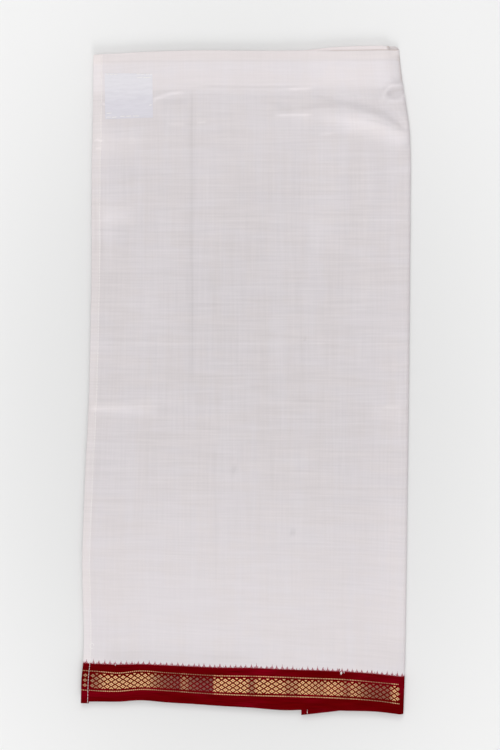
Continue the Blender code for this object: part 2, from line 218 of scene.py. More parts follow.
# Each crease runs through its points (millimetres) and is a bell across its line: `left` wide on
# the left of its direction and `right` wide on the other side. It stands `height` high (a trough is
# negative). Its `tone` is painted light: a painted highlight along it above 0, painted shade below
# 0. Both swell over the first `start` of its length and die away over the last `end`.
CREASES = table("height tone left right start end points", (
    # the pucker at the right-hand fold: a broad ridge, the valley above it, a sharp one and a loop
    (2.2, 0.3, 4.5, 14.0, 0.3, 0.02, ((25.6, 252.6), (50.2, 254.4), (72.0, 258.2), (93.0, 258.6),
        (117.7, 252.6), (142.4, 240.6), (158.0, 229.5))),
    (2.0, 0.2, 13.0, 3.5, 0.3, 0.02, ((72.0, 275.2), (106.0, 270.8), (132.5, 265.2),
        (143.1, 256.8), (157.0, 241.0))),
    (0.0, -0.45, 2.4, 2.4, 0.15, 0.1, ((56.0, 273.0), (87.7, 266.2), (106.8, 262.0),
        (122.0, 258.4), (133.5, 252.6), (145.0, 243.9), (154.5, 236.2))),
    (0.0, -0.45, 5.0, 5.0, 0.25, 0.15, ((92.0, 265.0), (106.8, 262.8), (122.0, 259.6),
        (133.5, 254.2), (145.0, 245.4), (153.0, 239.0))),
    (0.0, 0.75, 5.0, 9.0, 0.3, 0.1, ((62.0, 251.5), (93.0, 248.0), (118.0, 243.0),
        (155.0, 227.0))),
    (0.0, -0.6, 1.1, 1.1, 0.2, 0.2, ((112.0, 248.6), (128.0, 245.6), (150.0, 237.4))),
    (2.3, 0.7, 2.8, 2.8, 0.3, 0.05, ((133.0, 262.0), (130.5, 268.5), (132.5, 275.0),
        (138.0, 280.6), (152.0, 281.5))),
    (1.6, 0.8, 2.4, 2.4, 0.3, 0.1, ((131.5, 269.5), (138.0, 266.4), (147.0, 267.4),
        (153.0, 273.0))),
    (-0.8, -1.2, 2.8, 2.8, 0.15, 0.1, ((134.5, 271.0), (137.5, 274.6), (142.5, 277.0),
        (150.5, 278.4))),
    (0.0, 0.9, 1.4, 1.4, 0.3, 0.3, ((148.5, 269.0), (152.5, 275.0))),
    (0.35, 1.5, 1.2, 1.4, 0.25, 0.25, ((24.0, 252.6), (43.0, 253.0), (66.0, 252.6))),
    (0.15, 0.8, 1.1, 1.1, 0.3, 0.3, ((68.0, 234.4), (86.0, 235.4))),
    (-0.25, -0.45, 4.0, 3.0, 0.3, 0.3, ((22.7, 262.0), (46.6, 258.0))),
    # the long soft ridge under the top fold, and the bright end of it
    (0.45, 0.3, 1.3, 3.2, 0.25, 0.25, ((-62.0, 277.6), (15.1, 278.0), (66.0, 277.8))),
    (0.0, -0.6, 0.9, 0.9, 0.2, 0.2, ((-51.8, 281.0), (10.7, 279.6), (62.0, 280.3))),
    (0.4, 1.3, 1.2, 1.4, 0.3, 0.3, ((36.0, 277.8), (66.0, 278.4))),
    # beside and under the label
    (0.7, 1.2, 1.7, 2.0, 0.2, 0.3, ((-91.0, 262.5), (-86.4, 269.2), (-71.6, 273.6),
        (-55.0, 275.4))),
    (0.0, -0.4, 5.0, 5.0, 0.3, 0.3, ((-86.0, 261.0), (-52.0, 267.0))),
    (0.45, 1.2, 1.2, 1.2, 0.25, 0.35, ((-139.0, 263.6), (-127.0, 263.2))),
    (0.25, 0.8, 0.9, 1.0, 0.3, 0.3, ((-78.0, 244.8), (-55.5, 244.2))),
    (0.25, 0.8, 1.0, 0.9, 0.3, 0.3, ((-48.0, 245.4), (-37.0, 246.6))),
    # lines pressed across the leaf
    (0.12, 0.35, 0.8, 0.8, 0.1, 0.2, ((-114.4, 230.0), (-53.5, 229.5))),
    (0.55, 0.5, 3.5, 2.5, 0.3, 0.45, ((-141.0, 155.2), (-108.0, 156.6))),
    (0.0, -0.4, 1.3, 1.3, 0.2, 0.45, ((-147.0, 143.4), (-102.0, 143.0))),
    (0.12, 0.45, 0.8, 0.8, 0.1, 0.05, ((-62.0, 152.7), (155.5, 152.7))),
    (0.12, 0.45, 0.8, 0.8, 0.03, 0.03, ((-144.4, 34.6), (155.5, 34.6))),
    (0.0, -0.2, 1.2, 1.2, 0.15, 0.3, ((-144.0, 41.0), (-20.0, 41.0))),
    (0.0, -0.5, 1.2, 1.2, 0.2, 0.4, ((-147.0, -19.6), (-98.0, -19.0))),
    (0.45, 0.5, 2.4, 3.2, 0.15, 0.45, ((-152.0, -27.0), (-78.0, -26.4))),
    (0.1, 0.4, 1.1, 1.1, 0.2, 0.25, ((-27.0, -21.5), (51.5, -22.0))),
    (0.25, 0.5, 1.8, 1.8, 0.3, 0.3, ((129.0, -25.8), (148.0, -26.2))),
    (0.2, 0.6, 1.0, 1.0, 0.25, 0.25, ((-22.0, -6.6), (5.0, -7.2))),
    # lines along the length: two pressed folds and the edge of the second end underneath
    (0.0, -0.5, 0.9, 0.9, 0.03, 0.2, ((-51.8, 280.0), (-51.6, -30.0))),
    (0.0, -0.25, 5.0, 5.0, 0.1, 0.2, ((-53.0, 280.0), (-53.0, -30.0))),
    (0.0, -0.3, 0.9, 0.9, 0.1, 0.2, ((-29.8, -60.0), (-28.8, -212.0))),
    (0.0, -0.12, 4.5, 3.0, 0.1, 0.2, ((45.5, 240.0), (53.5, -60.0))),
    # in the shade of the fold, beside the top right corner
    (0.0, -1.2, 9.5, 8.5, 0.08, 0.1, ((148.0, 312.0), (151.5, 279.0))),
    # broad soft lights and shades
    (0.0, 0.42, 34.0, 26.0, 0.08, 0.05, ((150.0, 236.0), (149.0, 60.0), (146.0, -262.0))),
    (0.0, 0.25, 9.0, 9.0, 0.1, 0.1, ((113.0, 225.0), (112.0, 60.0))),
    (0.0, 0.6, 12.0, 12.0, 0.25, 0.1, ((88.0, 247.0), (128.0, 242.5), (158.0, 238.0))),
    (0.0, -0.28, 46.0, 46.0, 0.25, 0.35, ((-20.0, 150.0), (-8.0, -60.0))),
    (0.0, 0.32, 20.0, 20.0, 0.15, 0.25, ((78.0, 240.0), (74.0, 100.0))),
    (0.0, 0.3, 7.0, 7.0, 0.1, 0.25, ((-138.0, 262.0), (-128.0, 90.0))),
    (0.0, -0.6, 8.0, 8.0, 0.1, 0.3, ((-142.0, -264.0), (30.0, -268.0))),
    (0.0, 0.5, 12.0, 12.0, 0.1, 0.4, ((-143.0, 157.0), (-98.0, 156.0))),
    (0.0, 0.5, 9.0, 9.0, 0.1, 0.35, ((-143.0, 227.0), (-92.0, 227.0))),
    (0.0, 0.5, 7.0, 7.0, 0.1, 0.3, ((-150.0, -27.0), (-75.0, -27.0))),
    (0.0, 0.45, 8.0, 8.0, 0.2, 0.2, ((118.0, -28.0), (154.0, -30.0))),
    # small marks
    (0.0, -0.9, 2.0, 2.0, 0.3, 0.3, ((-13.0, -92.0), (-10.6, -80.0))),
    (0.2, -1.6, 1.1, 1.1, 0.3, 0.3, ((43.2, -144.4), (46.0, -146.4))),
    (0.0, -1.0, 0.9, 0.9, 0.3, 0.3, ((55.4, 37.0), (57.2, 39.4))),
    # the band under the top fold: painted light and shade, the painted shadow under its edge, and
    # painted shadow in the gap where the inner leaves show at the right
    (0.0, -0.45, 0.8, 0.8, 0.02, 0.02, ((-146.0, 304.0), (148.0, 305.6))),
    (0.0, 0.6, 0.8, 0.8, 0.2, 0.3, ((-140.0, 310.8), (-98.0, 311.9))),
    (0.0, 0.5, 24.0, 17.0, 0.4, 0.12, ((40.0, 292.0), (150.0, 292.0))),
    (0.0, -1.7, 0.8, 0.8, 0.25, 0.02, ((66.0, 314.4), (146.0, 315.4))),
    (0.0, 2.2, 1.3, 1.3, 0.1, 0.1, ((128.5, 318.2), (131.5, 318.4))),
    (0.0, -2.2, 1.5, 1.5, 0.1, 0.1, ((134.0, 317.8), (143.5, 317.6))),
    # across the hem
    (0.3, 1.1, 1.0, 1.2, 0.2, 0.3, ((-146.5, 228.0), (-142.0, 229.6), (-134.5, 227.4))),
    (0.2, 0.9, 0.9, 0.9, 0.2, 0.3, ((-144.5, 220.8), (-137.5, 221.6))),
))


def creases_at(x, y):
    """The summed heights (millimetres) and painted highlight and shade tones of the creases at (x, y).
    """
    x, y = np.broadcast_arrays(x, y)
    height, tone = np.zeros(x.shape), np.zeros(x.shape)
    for crease in CREASES:
        points = np.array(crease.points)
        runs = np.diff(points, axis=0)
        lengths = np.hypot(*runs.T)
        before = np.concatenate([[0.0], np.cumsum(lengths)])
        nearest, share, side = np.full(x.shape, np.inf), np.zeros(x.shape), np.ones(x.shape)
        for start, run, length, done in zip(points, runs, lengths, before):
            dx, dy = x - start[0], y - start[1]
            f = np.clip((dx * run[0] + dy * run[1]) / length**2, 0.0, 1.0)
            distance = np.hypot(dx - f * run[0], dy - f * run[1])
            closer = distance < nearest
            nearest = np.where(closer, distance, nearest)
            share = np.where(closer, (done + f * length) / before[-1], share)
            side = np.where(closer, run[0] * dy - run[1] * dx, side)
        width = np.where(side > 0.0, crease.left, crease.right)
        fade = smooth(share, 0.0, crease.start) * smooth(1.0 - share, 0.0, crease.end)
        bell = fade * np.exp(-((nearest / width) ** 2))
        height += crease.height * bell
        tone += crease.tone * bell
    return height, tone


# ---- the folded routes --------------------------------------------------------------------------

# A route is the doubled cloth's way through the bundle, seen along Y: level stretches joined by
# turns. Levels count leaves from the surface up.
Turn = namedtuple("Turn", "side inset depth")  # +1 right or -1 left, millimetres in, reach in X
Route = namedtuple("Route", "levels turns start end lifts peeks")

RIGHT, LEFT = 1.0, -1.0
FRONT_LEVEL = 11
LOWEST_FRONT = 9.3  # leaf pitches up: a crease sinks the front leaf no lower
TIGHT_TURN = 0.9  # a turn set in further than this strays, and draws in near the top
DRAWN_IN = 9.0
LOOSE_TOP = 1.2  # how far an inner leaf's top fold lies back where its peek is 1
HALF_PITCH = 0.29  # of the leaves, in the length of cloth that a turn takes
SETTLING = 3  # rounds in which x and y are made to agree
STEP_RUN = 3.2  # the front leaf climbs over the second end's edge in this far
FOLD_REACH = 3.6  # of the front leaf's turn at the right
UNDER_HEM = 2.4  # how far the first end's leaf reaches under its hem
UNDER_SECOND_HEM = 7.0  # how far in from the second end's edge its leaf starts
SEAM_IN = 15.0  # the hidden seam's distance in from the left edge
BACK_FROM = (1.3, 2.0)  # places round the front's turn where its top comes to show past the front's
BACK_END = 3.0  # the place along the front's route where the back leaf ends
CORNER_SAG = 1.9
PUCKER = table("x y width height rise", ((150.0, 255.0, 45.0, 26.0, 0.55),))[0]
TOP_ROLL = 0.35
ON_HEM = 0.32  # the front leaf rises this much to the top of its hem
REST_GAP = 0.12  # room under the lowest leaf for the threads of its zari band


def front_start(y):
    """The front leaf starts inside the roll of its hem."""
    return left(y) + hem_width(y) - UNDER_HEM


def second_start(y):
    """The second end's leaf starts inside the roll of its hem."""
    return second_left(y) + UNDER_SECOND_HEM


def seam(y):
    """Where the front's cloth ends and the inner leaves' cloth starts."""
    return left(y) + SEAM_IN


FRONT_ROUTE = Route(
    levels=(FRONT_LEVEL, 0, 3),
    turns=(Turn(RIGHT, 0.3, FOLD_REACH), Turn(LEFT, 2.0, 1.1)),
    start=front_start,
    end=seam,
    lifts=(0.0, 1.6, 2.2),
    peeks=(0.0, 1.0, 0.6),
)

# From the seam hidden at level 3, over and over, and out round the right to the second end.
INNER_ROUTE = Route(
    levels=(3, 4, 7, 8, 9, 6, 5, 2, 1, 10),
    turns=(
        Turn(RIGHT, 6.5, 0.5),
        Turn(LEFT, 1.1, 1.1),
        Turn(RIGHT, 6.0, 0.5),
        Turn(LEFT, 2.3, 0.5),
        Turn(RIGHT, 5.0, 1.1),
        Turn(LEFT, 3.0, 0.5),
        Turn(RIGHT, 5.4, 1.1),
        Turn(LEFT, 3.4, 0.5),
        Turn(RIGHT, 0.95, 3.0),
    ),
    start=seam,
    end=second_start,
    lifts=(2.2, 1.2, 2.8, 0.9, 1.9, 2.4, 1.1, 2.0, 2.9, 0.0),
    peeks=(0.6, 0.9, 0.2, 0.7, 1.0, 0.5, 0.8, 0.3, 0.9, 0.8),
)


def level_height(level, x, y, pitch, creased=1.0):
    """Height of a leaf's middle, in millimetres. The front leaf lies one level lower where the
    second end isn't under it. It alone takes the creases, by the share `creased`, and they don't
    sink into the leaf below."""
    if level < FRONT_LEVEL:
        return REST_GAP + (level + 0.5) * pitch + swell(x, y) * level / FRONT_LEVEL
    head = second_left(y) + 0.6
    over = smooth(x, head - STEP_RUN, head)
    inner = left(y) + hem_width(y)
    crease = creased * np.maximum(creases_at(x, y)[0], -0.05)
    height = (FRONT_LEVEL - 0.5 + over) * pitch + crease + swell(x, y) - corner_sag(x, y)
    on_hem = ON_HEM * (1.0 - smooth(x, inner - 0.5, inner + 2.5))
    return REST_GAP + np.maximum(height, LOWEST_FRONT * pitch) + on_hem


def corner_sag(x, y):
    """The front leaf hangs over the drawn-in leaves beside the top right corner, in mm."""
    return CORNER_SAG * smooth(x, right(y) - 15.0, right(y) - 3.0) * smooth(y, 281.0, 291.0)


def swell(x, y):
    """The whole bundle stands a little higher at the pucker and along the top fold, in mm."""
    across, up = (x - PUCKER.x) / PUCKER.width, (y - PUCKER.y) / PUCKER.height
    return PUCKER.rise * np.exp(-(across**2) - up**2) + TOP_ROLL * smooth(y, 299.0, 311.0)


def wobble(y, turn):
    """How far a turn strays along Y, in mm: two slow waves, in phase by the turn's own inset."""
    phase = 7.0 * turn.inset
    slow, fast = np.sin(y / 83.0 + phase), np.sin(y / 31.0 + 2.3 * phase)
    return 0.45 * slow + 0.2 * fast


def turn_extreme(turn, y):
    """X of a turn's outermost point. Near the top the inner leaves draw in at the right."""
    inner = turn.inset > TIGHT_TURN
    stray = wobble(y, turn) if inner else 0.0
    if turn.side < 0:
        return left(y) + turn.inset + stray
    drawn_in = DRAWN_IN * smooth(y, 268.0, 300.0) if inner else 0.0
    return right(y) - turn.inset - drawn_in - stray


def stretch_x(share, start, end, start_level, end_level):
    """X along a level stretch. Its threads run straight in Y in the middle and follow the two
    edges near them: x = even share + what each edge strays, faded out a third of the way in."""
    even = start_level + (end_level - start_level) * share
    from_start = (start - start_level) * (1.0 - smooth(share, 0.0, 0.35))
    from_end = (end - end_level) * smooth(share, 0.6, 1.0)
    return even + from_start + from_end


def between_stretches(values, place):
    """A value given for each stretch, held along it and blended through the turns."""
    knots = np.arange(2 * len(values))
    return np.interp(place, knots, np.repeat(values, 2))


def route_points(route, place, v, pitch, creased=1.0):
    """Where the leaf's middle runs: x, y, z and the normal's x and z, all on a grid.

    place is 2k to 2k + 1 along stretch k and 2k + 1 to 2k + 2 round the turn after it. v is the
    height up the leaf, and creased the share of the creases that each v takes. On a stretch x
    comes from stretch_x. Round a turn, at an angle a from 0 to pi, x = centre + side * reach *
    sin a and z = middle + half * cos a. The normal is the tangent turned by a right angle, so it
    points up where the route runs towards +X. x and y depend on each other, and are worked out in
    turn until they settle.
    """
    shape = (len(place), len(v))
    x, y, z, nx, nz = (np.zeros(shape) for _ in range(5))
    lift = between_stretches(route.lifts, place)[:, None]
    peek = between_stretches(route.peeks, place)[:, None]
    top_share = smooth(v, UPPER_FROM, LEAF)[None, :]

    def settle_y(x_now, rows):
        """The thread's own Y, plus how far the leaf stands back from the selvedge below and past
        the top fold above."""
        low, beyond, loose = lift[rows], curve(TOP_PEEK, "x", "beyond", x_now), 0.0
        if route is FRONT_ROUTE:
            beyond = beyond * smooth(place[rows], *BACK_FROM)[:, None]
        else:
            out_at = 2.0 * len(route.turns)
            last = smooth(place[rows], out_at - 0.5, out_at)[:, None]
            low = low - last * curve(SECOND_END, "x", "below", x_now)
            loose = -LOOSE_TOP * peek[rows]
        base = weft_y(x_now, v[None, :])
        return base + low * (1.0 - top_share) + (beyond + loose) * top_share

    for k, level in enumerate(route.levels):
        rows = (place >= 2 * k) & (place <= 2 * k + 1)
        share = (place[rows] - 2 * k)[:, None]
        going = 1.0 if k % 2 == 0 else -1.0
        y_now = weft_y(0.0, v)[None, :] + np.zeros_like(share)
        for _ in range(SETTLING):
            start, end = stretch_ends(route, k, y_now)
            x_now = stretch_x(share, start, end, *stretch_ends(route, k, np.array(0.0)))
            y_now = settle_y(x_now, rows)
        x[rows], y[rows] = x_now, y_now
        z[rows] = level_height(level, x_now, y_now, pitch, creased)
        nz[rows] = going
    for k, turn in enumerate(route.turns):
        rows = (place > 2 * k + 1) & (place < 2 * k + 2)
        angle = ((place[rows] - 2 * k - 1) * np.pi)[:, None]
        y_now = weft_y(0.0, v)[None, :] + np.zeros_like(angle)
        for _ in range(SETTLING):
            centre = turn_extreme(turn, y_now) - turn.side * turn.depth
            x_now = centre + turn.side * turn.depth * np.sin(angle)
            y_now = settle_y(x_now, rows)
        before = level_height(route.levels[k], centre, y_now, pitch, creased)
        after = level_height(route.levels[k + 1], centre, y_now, pitch, creased)
        half = (before - after) / 2.0
        x[rows], y[rows] = x_now, y_now
        z[rows] = (before + after) / 2.0 + half * np.cos(angle)
        across, along = half * np.sin(angle), turn.side * turn.depth * np.cos(angle)
        length = np.hypot(across, along)
        nx[rows], nz[rows] = across / length, along / length
    return x, y, z, nx, nz


def stretch_ends(route, k, y):
    """The two ends of stretch k: the cloth's own end, or the middle of the turn there."""

    def centre(turn):
        return turn_extreme(turn, y) - turn.side * turn.depth

    start = route.start(y) if k == 0 else centre(route.turns[k - 1])
    end = route.end(y) if k == len(route.levels) - 1 else centre(route.turns[k])
    return start, end


# ---- rows up a layer and the hairpin ------------------------------------------------------------

Hairpin = namedtuple("Hairpin", "v t offset beyond normal_out normal_up")


def hairpin(up, down, spread, arc_steps):
    """The doubled cloth in section, as arrays along t.

    Up the outer layer at a distance `spread` from the leaf's middle, round a half circle of that
    radius at the top, and down the inner layer at minus that distance.
    """
    angle = np.linspace(0.0, np.pi, arc_steps + 2)[1:-1]
    flat_up, flat_down, turn = np.ones_like(up), np.ones_like(down), np.ones_like(angle)
    centre = LEAF - spread
    v = np.concatenate([np.minimum(up, centre), centre * turn, np.minimum(down, centre)])
    return Hairpin(
        v=v,
        t=np.concatenate([up, LEAF + spread * (angle - np.pi / 2), 2 * LEAF - down]),
        offset=np.concatenate([spread * flat_up, spread * np.cos(angle), -spread * flat_down]),
        beyond=np.concatenate([0 * up, spread * np.sin(angle), 0 * down]),
        normal_out=np.concatenate([flat_up, np.cos(angle), -flat_down]),
        normal_up=np.concatenate([0 * up, np.sin(angle), 0 * down]),
    )


def two_layers(pin, count):
    """A hairpin with no arc, as its outer layer of `count` rows and its inner one."""
    parts = (slice(0, count), slice(count, None))
    return [Hairpin(*(field[part] for field in pin)) for part in parts]


def leaf_surface(route, place, pin, pitch, out):
    """M(s, t) moved out by `out`, in metres: the leaf's middle, plus the hairpin's own offset along
    the leaf's normal, plus `out` along the hairpin's normal."""
    x, y, z, nx, nz = route_points(route, place, pin.v, pitch, np.maximum(pin.normal_out, 0.0))
    away = pin.offset[None, :] + out * pin.normal_out[None, :]
    y = y + pin.beyond[None, :] + out * pin.normal_up[None, :]
    return np.stack([x + nx * away, y, z + nz * away], axis=-1) * MM


# ---- putting meshes into the scene --------------------------------------------------------------

CUT_EDGE = np.radians(55.0)  # a wall's rim meets its faces at more than this, and stays crisp


def new_object(name, points, faces, material, uv=None, smooth_faces=True, attributes=None):
    """A mesh object at the origin, from whole arrays. uv holds one pair for each point."""
    mesh = bpy.data.meshes.new(name)
    faces = np.asarray(faces, dtype=np.int32)
    corners = faces.shape[1]
    mesh.vertices.add(len(points))
    mesh.vertices.foreach_set("co", np.asarray(points, dtype=np.float32).ravel())
    mesh.loops.add(faces.size)
    mesh.loops.foreach_set("vertex_index", faces.ravel())
    mesh.polygons.add(len(faces))
    mesh.polygons.foreach_set("loop_start", np.arange(0, faces.size, corners, dtype=np.int32))
    mesh.polygons.foreach_set("use_smooth", np.full(len(faces), smooth_faces))
    mesh.update(calc_edges=True)
    mesh.validate()
    if smooth_faces:
        mesh.set_sharp_from_angle(angle=CUT_EDGE)
    if uv is not None:
        layer = mesh.uv_layers.new(name=WEAVE_UV)
        layer.data.foreach_set("uv", np.asarray(uv, dtype=np.float32)[faces.ravel()].ravel())
    for key, values in (attributes or {}).items():
        layer = mesh.attributes.new(key, "FLOAT", "POINT")
        layer.data.foreach_set("value", np.asarray(values, dtype=np.float32))
    mesh.materials.append(material)
    obj = bpy.data.objects.new(name, mesh)
    bpy.context.scene.collection.objects.link(obj)
    return obj


def grid_quads(columns, rows, first=0):
    """Faces of a grid of points, numbered column by column, with their normals to the outside."""
    index = first + np.arange(columns * rows).reshape(columns, rows)
    corners = (index[:-1, :-1], index[1:, :-1], index[1:, 1:], index[:-1, 1:])
    return np.stack(corners, axis=-1).reshape(-1, 4)


def wall(outer, inner, uv):
    """A closed thin wall between two grids: both faces and the four rims."""
    columns, rows = outer.shape[:2]
    count = columns * rows
    index = np.arange(count).reshape(columns, rows)
    loop = np.concatenate([index[:-1, 0], index[-1, :-1], index[:0:-1, -1], index[0, :0:-1]])
    ahead = np.roll(loop, -1)
    rims = np.stack([ahead, loop, loop + count, ahead + count], axis=-1)
    faces = [grid_quads(columns, rows), grid_quads(columns, rows, count)[:, ::-1], rims]
    points = np.concatenate([outer.reshape(-1, 3), inner.reshape(-1, 3)])
    return points, np.concatenate(faces), np.tile(uv.reshape(-1, 2), (2, 1))


def joined(parts):
    """Several (points, faces, uv) parts as one."""
    points, faces, uvs, first = [], [], [], 0
    for part_points, part_faces, part_uv in parts:
        points.append(part_points)
        faces.append(part_faces + first)
        uvs.append(part_uv)
        first += len(part_points)
    return np.concatenate(points), np.concatenate(faces), np.concatenate(uvs)


def cloth_wall(route, place, run, pin, sizes):
    """A cloth layer's closed wall along a route, with its weave coordinates in metres."""
    half = sizes.cloth_thickness / MM / 2
    pitch = sizes.leaf_pitch / MM
    outer = leaf_surface(route, place, pin, pitch, half)
    inner = leaf_surface(route, place, pin, pitch, -half)
    uv = np.stack(np.broadcast_arrays(run[:, None], pin.t[None, :]), axis=-1) * MM
    return wall(outer, inner, uv)


def add_piece(name, made, material, slot, replaced=(), rounded=True, **marks):
    """A piece from its points, faces and uv; each mark is a function that gives every point a value.
    Its slot is not used.
    The piece rides on the one body and hides the solids that it stands for."""
    points, faces, uv = made
    values = {key: mark(points) for key, mark in marks.items()}
    obj = new_object(name, points, faces, material, uv, rounded, values)
    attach(obj, BODY)
    if replaced:
        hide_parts(*replaced)


# ---- columns and rows ---------------------------------------------------------------------------


def route_columns(route, first, middle, around, also=()):
    """Places along a route: `first` steps on its first stretch and at the runs in `also`, `middle`
    on each other one and `around` round each turn, with the run of cloth up to each, in mm."""
    places, runs, done = [], [], 0.0
    for k in range(len(route.levels)):
        steps = first if k == 0 else middle
        share = np.linspace(0.0, 1.0, steps + 1)[:-1]
        start, end = stretch_ends(route, k, np.array(0.0))
        length = abs(end - start)
        share = np.union1d(share, np.array(also) / length) if k == 0 else share
        places.append(2 * k + share)
        runs.append(done + length * share)
        done += length
        if k < len(route.turns):
            share = np.linspace(0.0, 1.0, around + 1)[:-1]
            turn = route.turns[k]
            length = np.pi * (turn.depth + HALF_PITCH * abs(route.levels[k] - route.levels[k + 1])) / 2
            places.append(2 * k + 1 + share)
            runs.append(done + length * share)
            done += length
    places.append(np.array([2.0 * len(route.levels) - 1.0]))
    runs.append(np.array([done]))
    return np.concatenate(places), np.concatenate(runs)


def border_rows():
    """Heights up the border, with a row on each of its lines and even steps between them."""
    marks = (0.0, LOW_LINE, HIGH_LINE, BORDER)
    rows = []
    for low, high in zip(marks, marks[1:]):
        even = (high - low) / max(1, round((high - low) / BORDER_STEP))
        rows.append(np.arange(low, high - BORDER_STEP / 2, even))
    return np.append(np.concatenate(rows), BORDER)


# Columns on a route's first stretch, on each other one and round each turn, and rows up the cloth.
# The front leaf's are close together where it is creased.
FRONT_COLUMNS = (120, 12, 10)
INNER_COLUMNS = (11, 11, 7)
PRESSED_AT = (-52.6, -51.7, -50.8, -30.1, -29.2, -28.3)  # X of the lines pressed along the leaf
FRONT_ROWS = table("low high step", (
    (BORDER, 282.0, 5.5),
    (282.0, 308.0, 1.6),
    (308.0, 344.0, 5.0),
    (344.0, 350.0, 0.8),
    (350.0, 453.0, 5.5),
    (453.0, 472.0, 1.2),
    (472.0, 538.0, 4.0),
    (538.0, 612.0, 1.25),
    (612.0, LEAF, 0.9),
))
INNER_ROWS = table("low high step", ((BORDER, 600.0, 40.0), (600.0, LEAF, 5.0)))
BORDER_STEP = 2.6
FRONT_ARC, INNER_ARC, HEM_ARC = 5, 4, 6  # points round the top fold


def front_columns():
    """The front route's columns, with one on each side of every pressed line."""
    start = front_start(np.array(0.0))
    return route_columns(FRONT_ROUTE, *FRONT_COLUMNS, [x - start for x in PRESSED_AT])


def ground_rows(zones):
    """Heights up the ground, evenly spaced in each zone by about its step."""
    rows = [np.linspace(z.low, z.high, round((z.high - z.low) / z.step), endpoint=False) for z in zones]
    return np.append(np.concatenate(rows), zones[-1].high)


# ---- materials ----------------------------------------------------------------------------------


class Value:
    """What a socket gives in a node tree. Sums and products of it are Math nodes."""

    def __init__(self, tree, socket):
        self.tree = tree
        self.socket = socket

    def math(self, operation, *others, clamp=False):
        return math_node(self.tree, operation, self, *others, clamp=clamp)

    def __add__(self, other):
        return self.math("ADD", other)

    def __sub__(self, other):
        return self.math("SUBTRACT", other)

    def __rsub__(self, other):
        return math_node(self.tree, "SUBTRACT", other, self)

    def __mul__(self, other):
        return self.math("MULTIPLY", other)

    def times_plus(self, factor, more):
        """This times factor, plus more, in one node."""
        return self.math("MULTIPLY_ADD", factor, more)


def fill(tree, socket, value):
    """Link a Value to a socket, or set the socket to a number, a vector or a colour."""
    if isinstance(value, Value):
        tree.links.new(value.socket, socket)
    elif isinstance(value, (int, float)):
        socket.default_value = value
    else:
        socket.default_value = (*value, 1.0)[: len(socket.default_value)]


def made_node(tree, kind, inputs, output=0, **settings):
    """A node with its settings, its inputs filled by name or number, and the Value of one output."""
    node = tree.nodes.new(kind)
    for key, setting in settings.items():
        setattr(node, key, setting)
    for key, value in inputs.items():
        fill(tree, node.inputs[key], value)
    return Value(tree, node.outputs[output])


def math_node(tree, operation, *values, clamp=False):
    """One Math node, its inputs filled in order."""
    inputs = dict(enumerate(values))
    return made_node(tree, "ShaderNodeMath", inputs, operation=operation, use_clamp=clamp)


def mix_colour(tree, factor, a, b):
    """A colour between a and b; each is a Value or a colour."""
    return made_node(tree, "ShaderNodeMix", {0: factor, 6: a, 7: b}, 2, data_type="RGBA")


def scaled_colour(tree, colour, factor):
    """A colour times a number; both are Values."""
    inputs = {0: colour, "Scale": factor}
    return made_node(tree, "ShaderNodeVectorMath", inputs, operation="SCALE")


def tinted(colour, *factors):
    """A colour with its channels multiplied, all three by one factor or each by its own."""
    factors = factors * 3 if len(factors) == 1 else factors
    return tuple(channel * factor for channel, factor in zip(colour, factors))


def attribute(tree, name):
    """What each point holds under that name."""
    return made_node(tree, "ShaderNodeAttribute", {}, "Fac", attribute_name=name)


def axis(tree, vector, number):
    """One axis of a vector, by its number."""
    return made_node(tree, "ShaderNodeSeparateXYZ", {0: vector}, number)


# Noise drawn out into streaks: its changes in a metre along the route and across the cloth.
Streaks = namedtuple("Streaks", "along across detail seed")
WEFT_YARNS = Streaks(22.0, 500.0, 3.0, 3.1)
WARP_YARNS = Streaks(560.0, 18.0, 3.0, 7.7)
BROAD_WEFT = Streaks(16.0, 70.0, 2.0, 1.3)
BROAD_WARP = Streaks(75.0, 7.0, 2.0, 4.4)
MAROON_BLOOM = Streaks(16.0, 60.0, 2.0, 5.0)
MAROON_THREADS = Streaks(40.0, 2400.0, 2.0, 9.0)
GOLD_FLECKS = Streaks(900.0, 300.0, 1.0, 2.0)
COPPER_FLECKS = Streaks(900.0, 300.0, 1.0, 6.0)
THREAD_TWIST = Streaks(3000.0, 1800.0, 1.0, 0.0)
SATIN_RIBS = Streaks(60.0, 1400.0, 2.0, 4.0)
SATIN_FOLDS = Streaks(70.0, 260.0, 2.0, 8.0)


def streaks_of(tree, vector, streaks):
    """The streaks' noise, at a place that goes by their seed."""
    scale = (streaks.along, streaks.across, 1.0)
    place = (streaks.seed, 2.0 * streaks.seed, 3.0 * streaks.seed)
    inputs = {"Vector": vector, "Scale": scale, "Location": place}
    mapped = made_node(tree, "ShaderNodeMapping", inputs)
    inputs = {"Vector": mapped, "Scale": 1.0, "Detail": streaks.detail}
    return made_node(tree, "ShaderNodeTexNoise", inputs, "Fac")


def ramp(tree, value, low, high):
    """0 at low and 1 at high, softly."""
    inputs = {"Value": value, "From Min": low, "From Max": high}
    return made_node(tree, "ShaderNodeMapRange", inputs, interpolation_type="SMOOTHSTEP")


def new_group(name, inputs, outputs):
    """An empty shader group: its tree, its inputs' Values by name and its output sockets.

    The inputs are named with their defaults, and one with no default is a vector.
    """
    tree = bpy.data.node_groups.new(name, "ShaderNodeTree")
    for label, default in inputs.items():
        kind = "NodeSocketVector" if default is None else "NodeSocketFloat"
        socket = tree.interface.new_socket(label, in_out="INPUT", socket_type=kind)
        if default is not None:
            socket.default_value = default
    for label in outputs:
        tree.interface.new_socket(label, in_out="OUTPUT", socket_type="NodeSocketFloat")
    given = {s.name: Value(tree, s) for s in tree.nodes.new("NodeGroupInput").outputs}
    return tree, given, tree.nodes.new("NodeGroupOutput").inputs


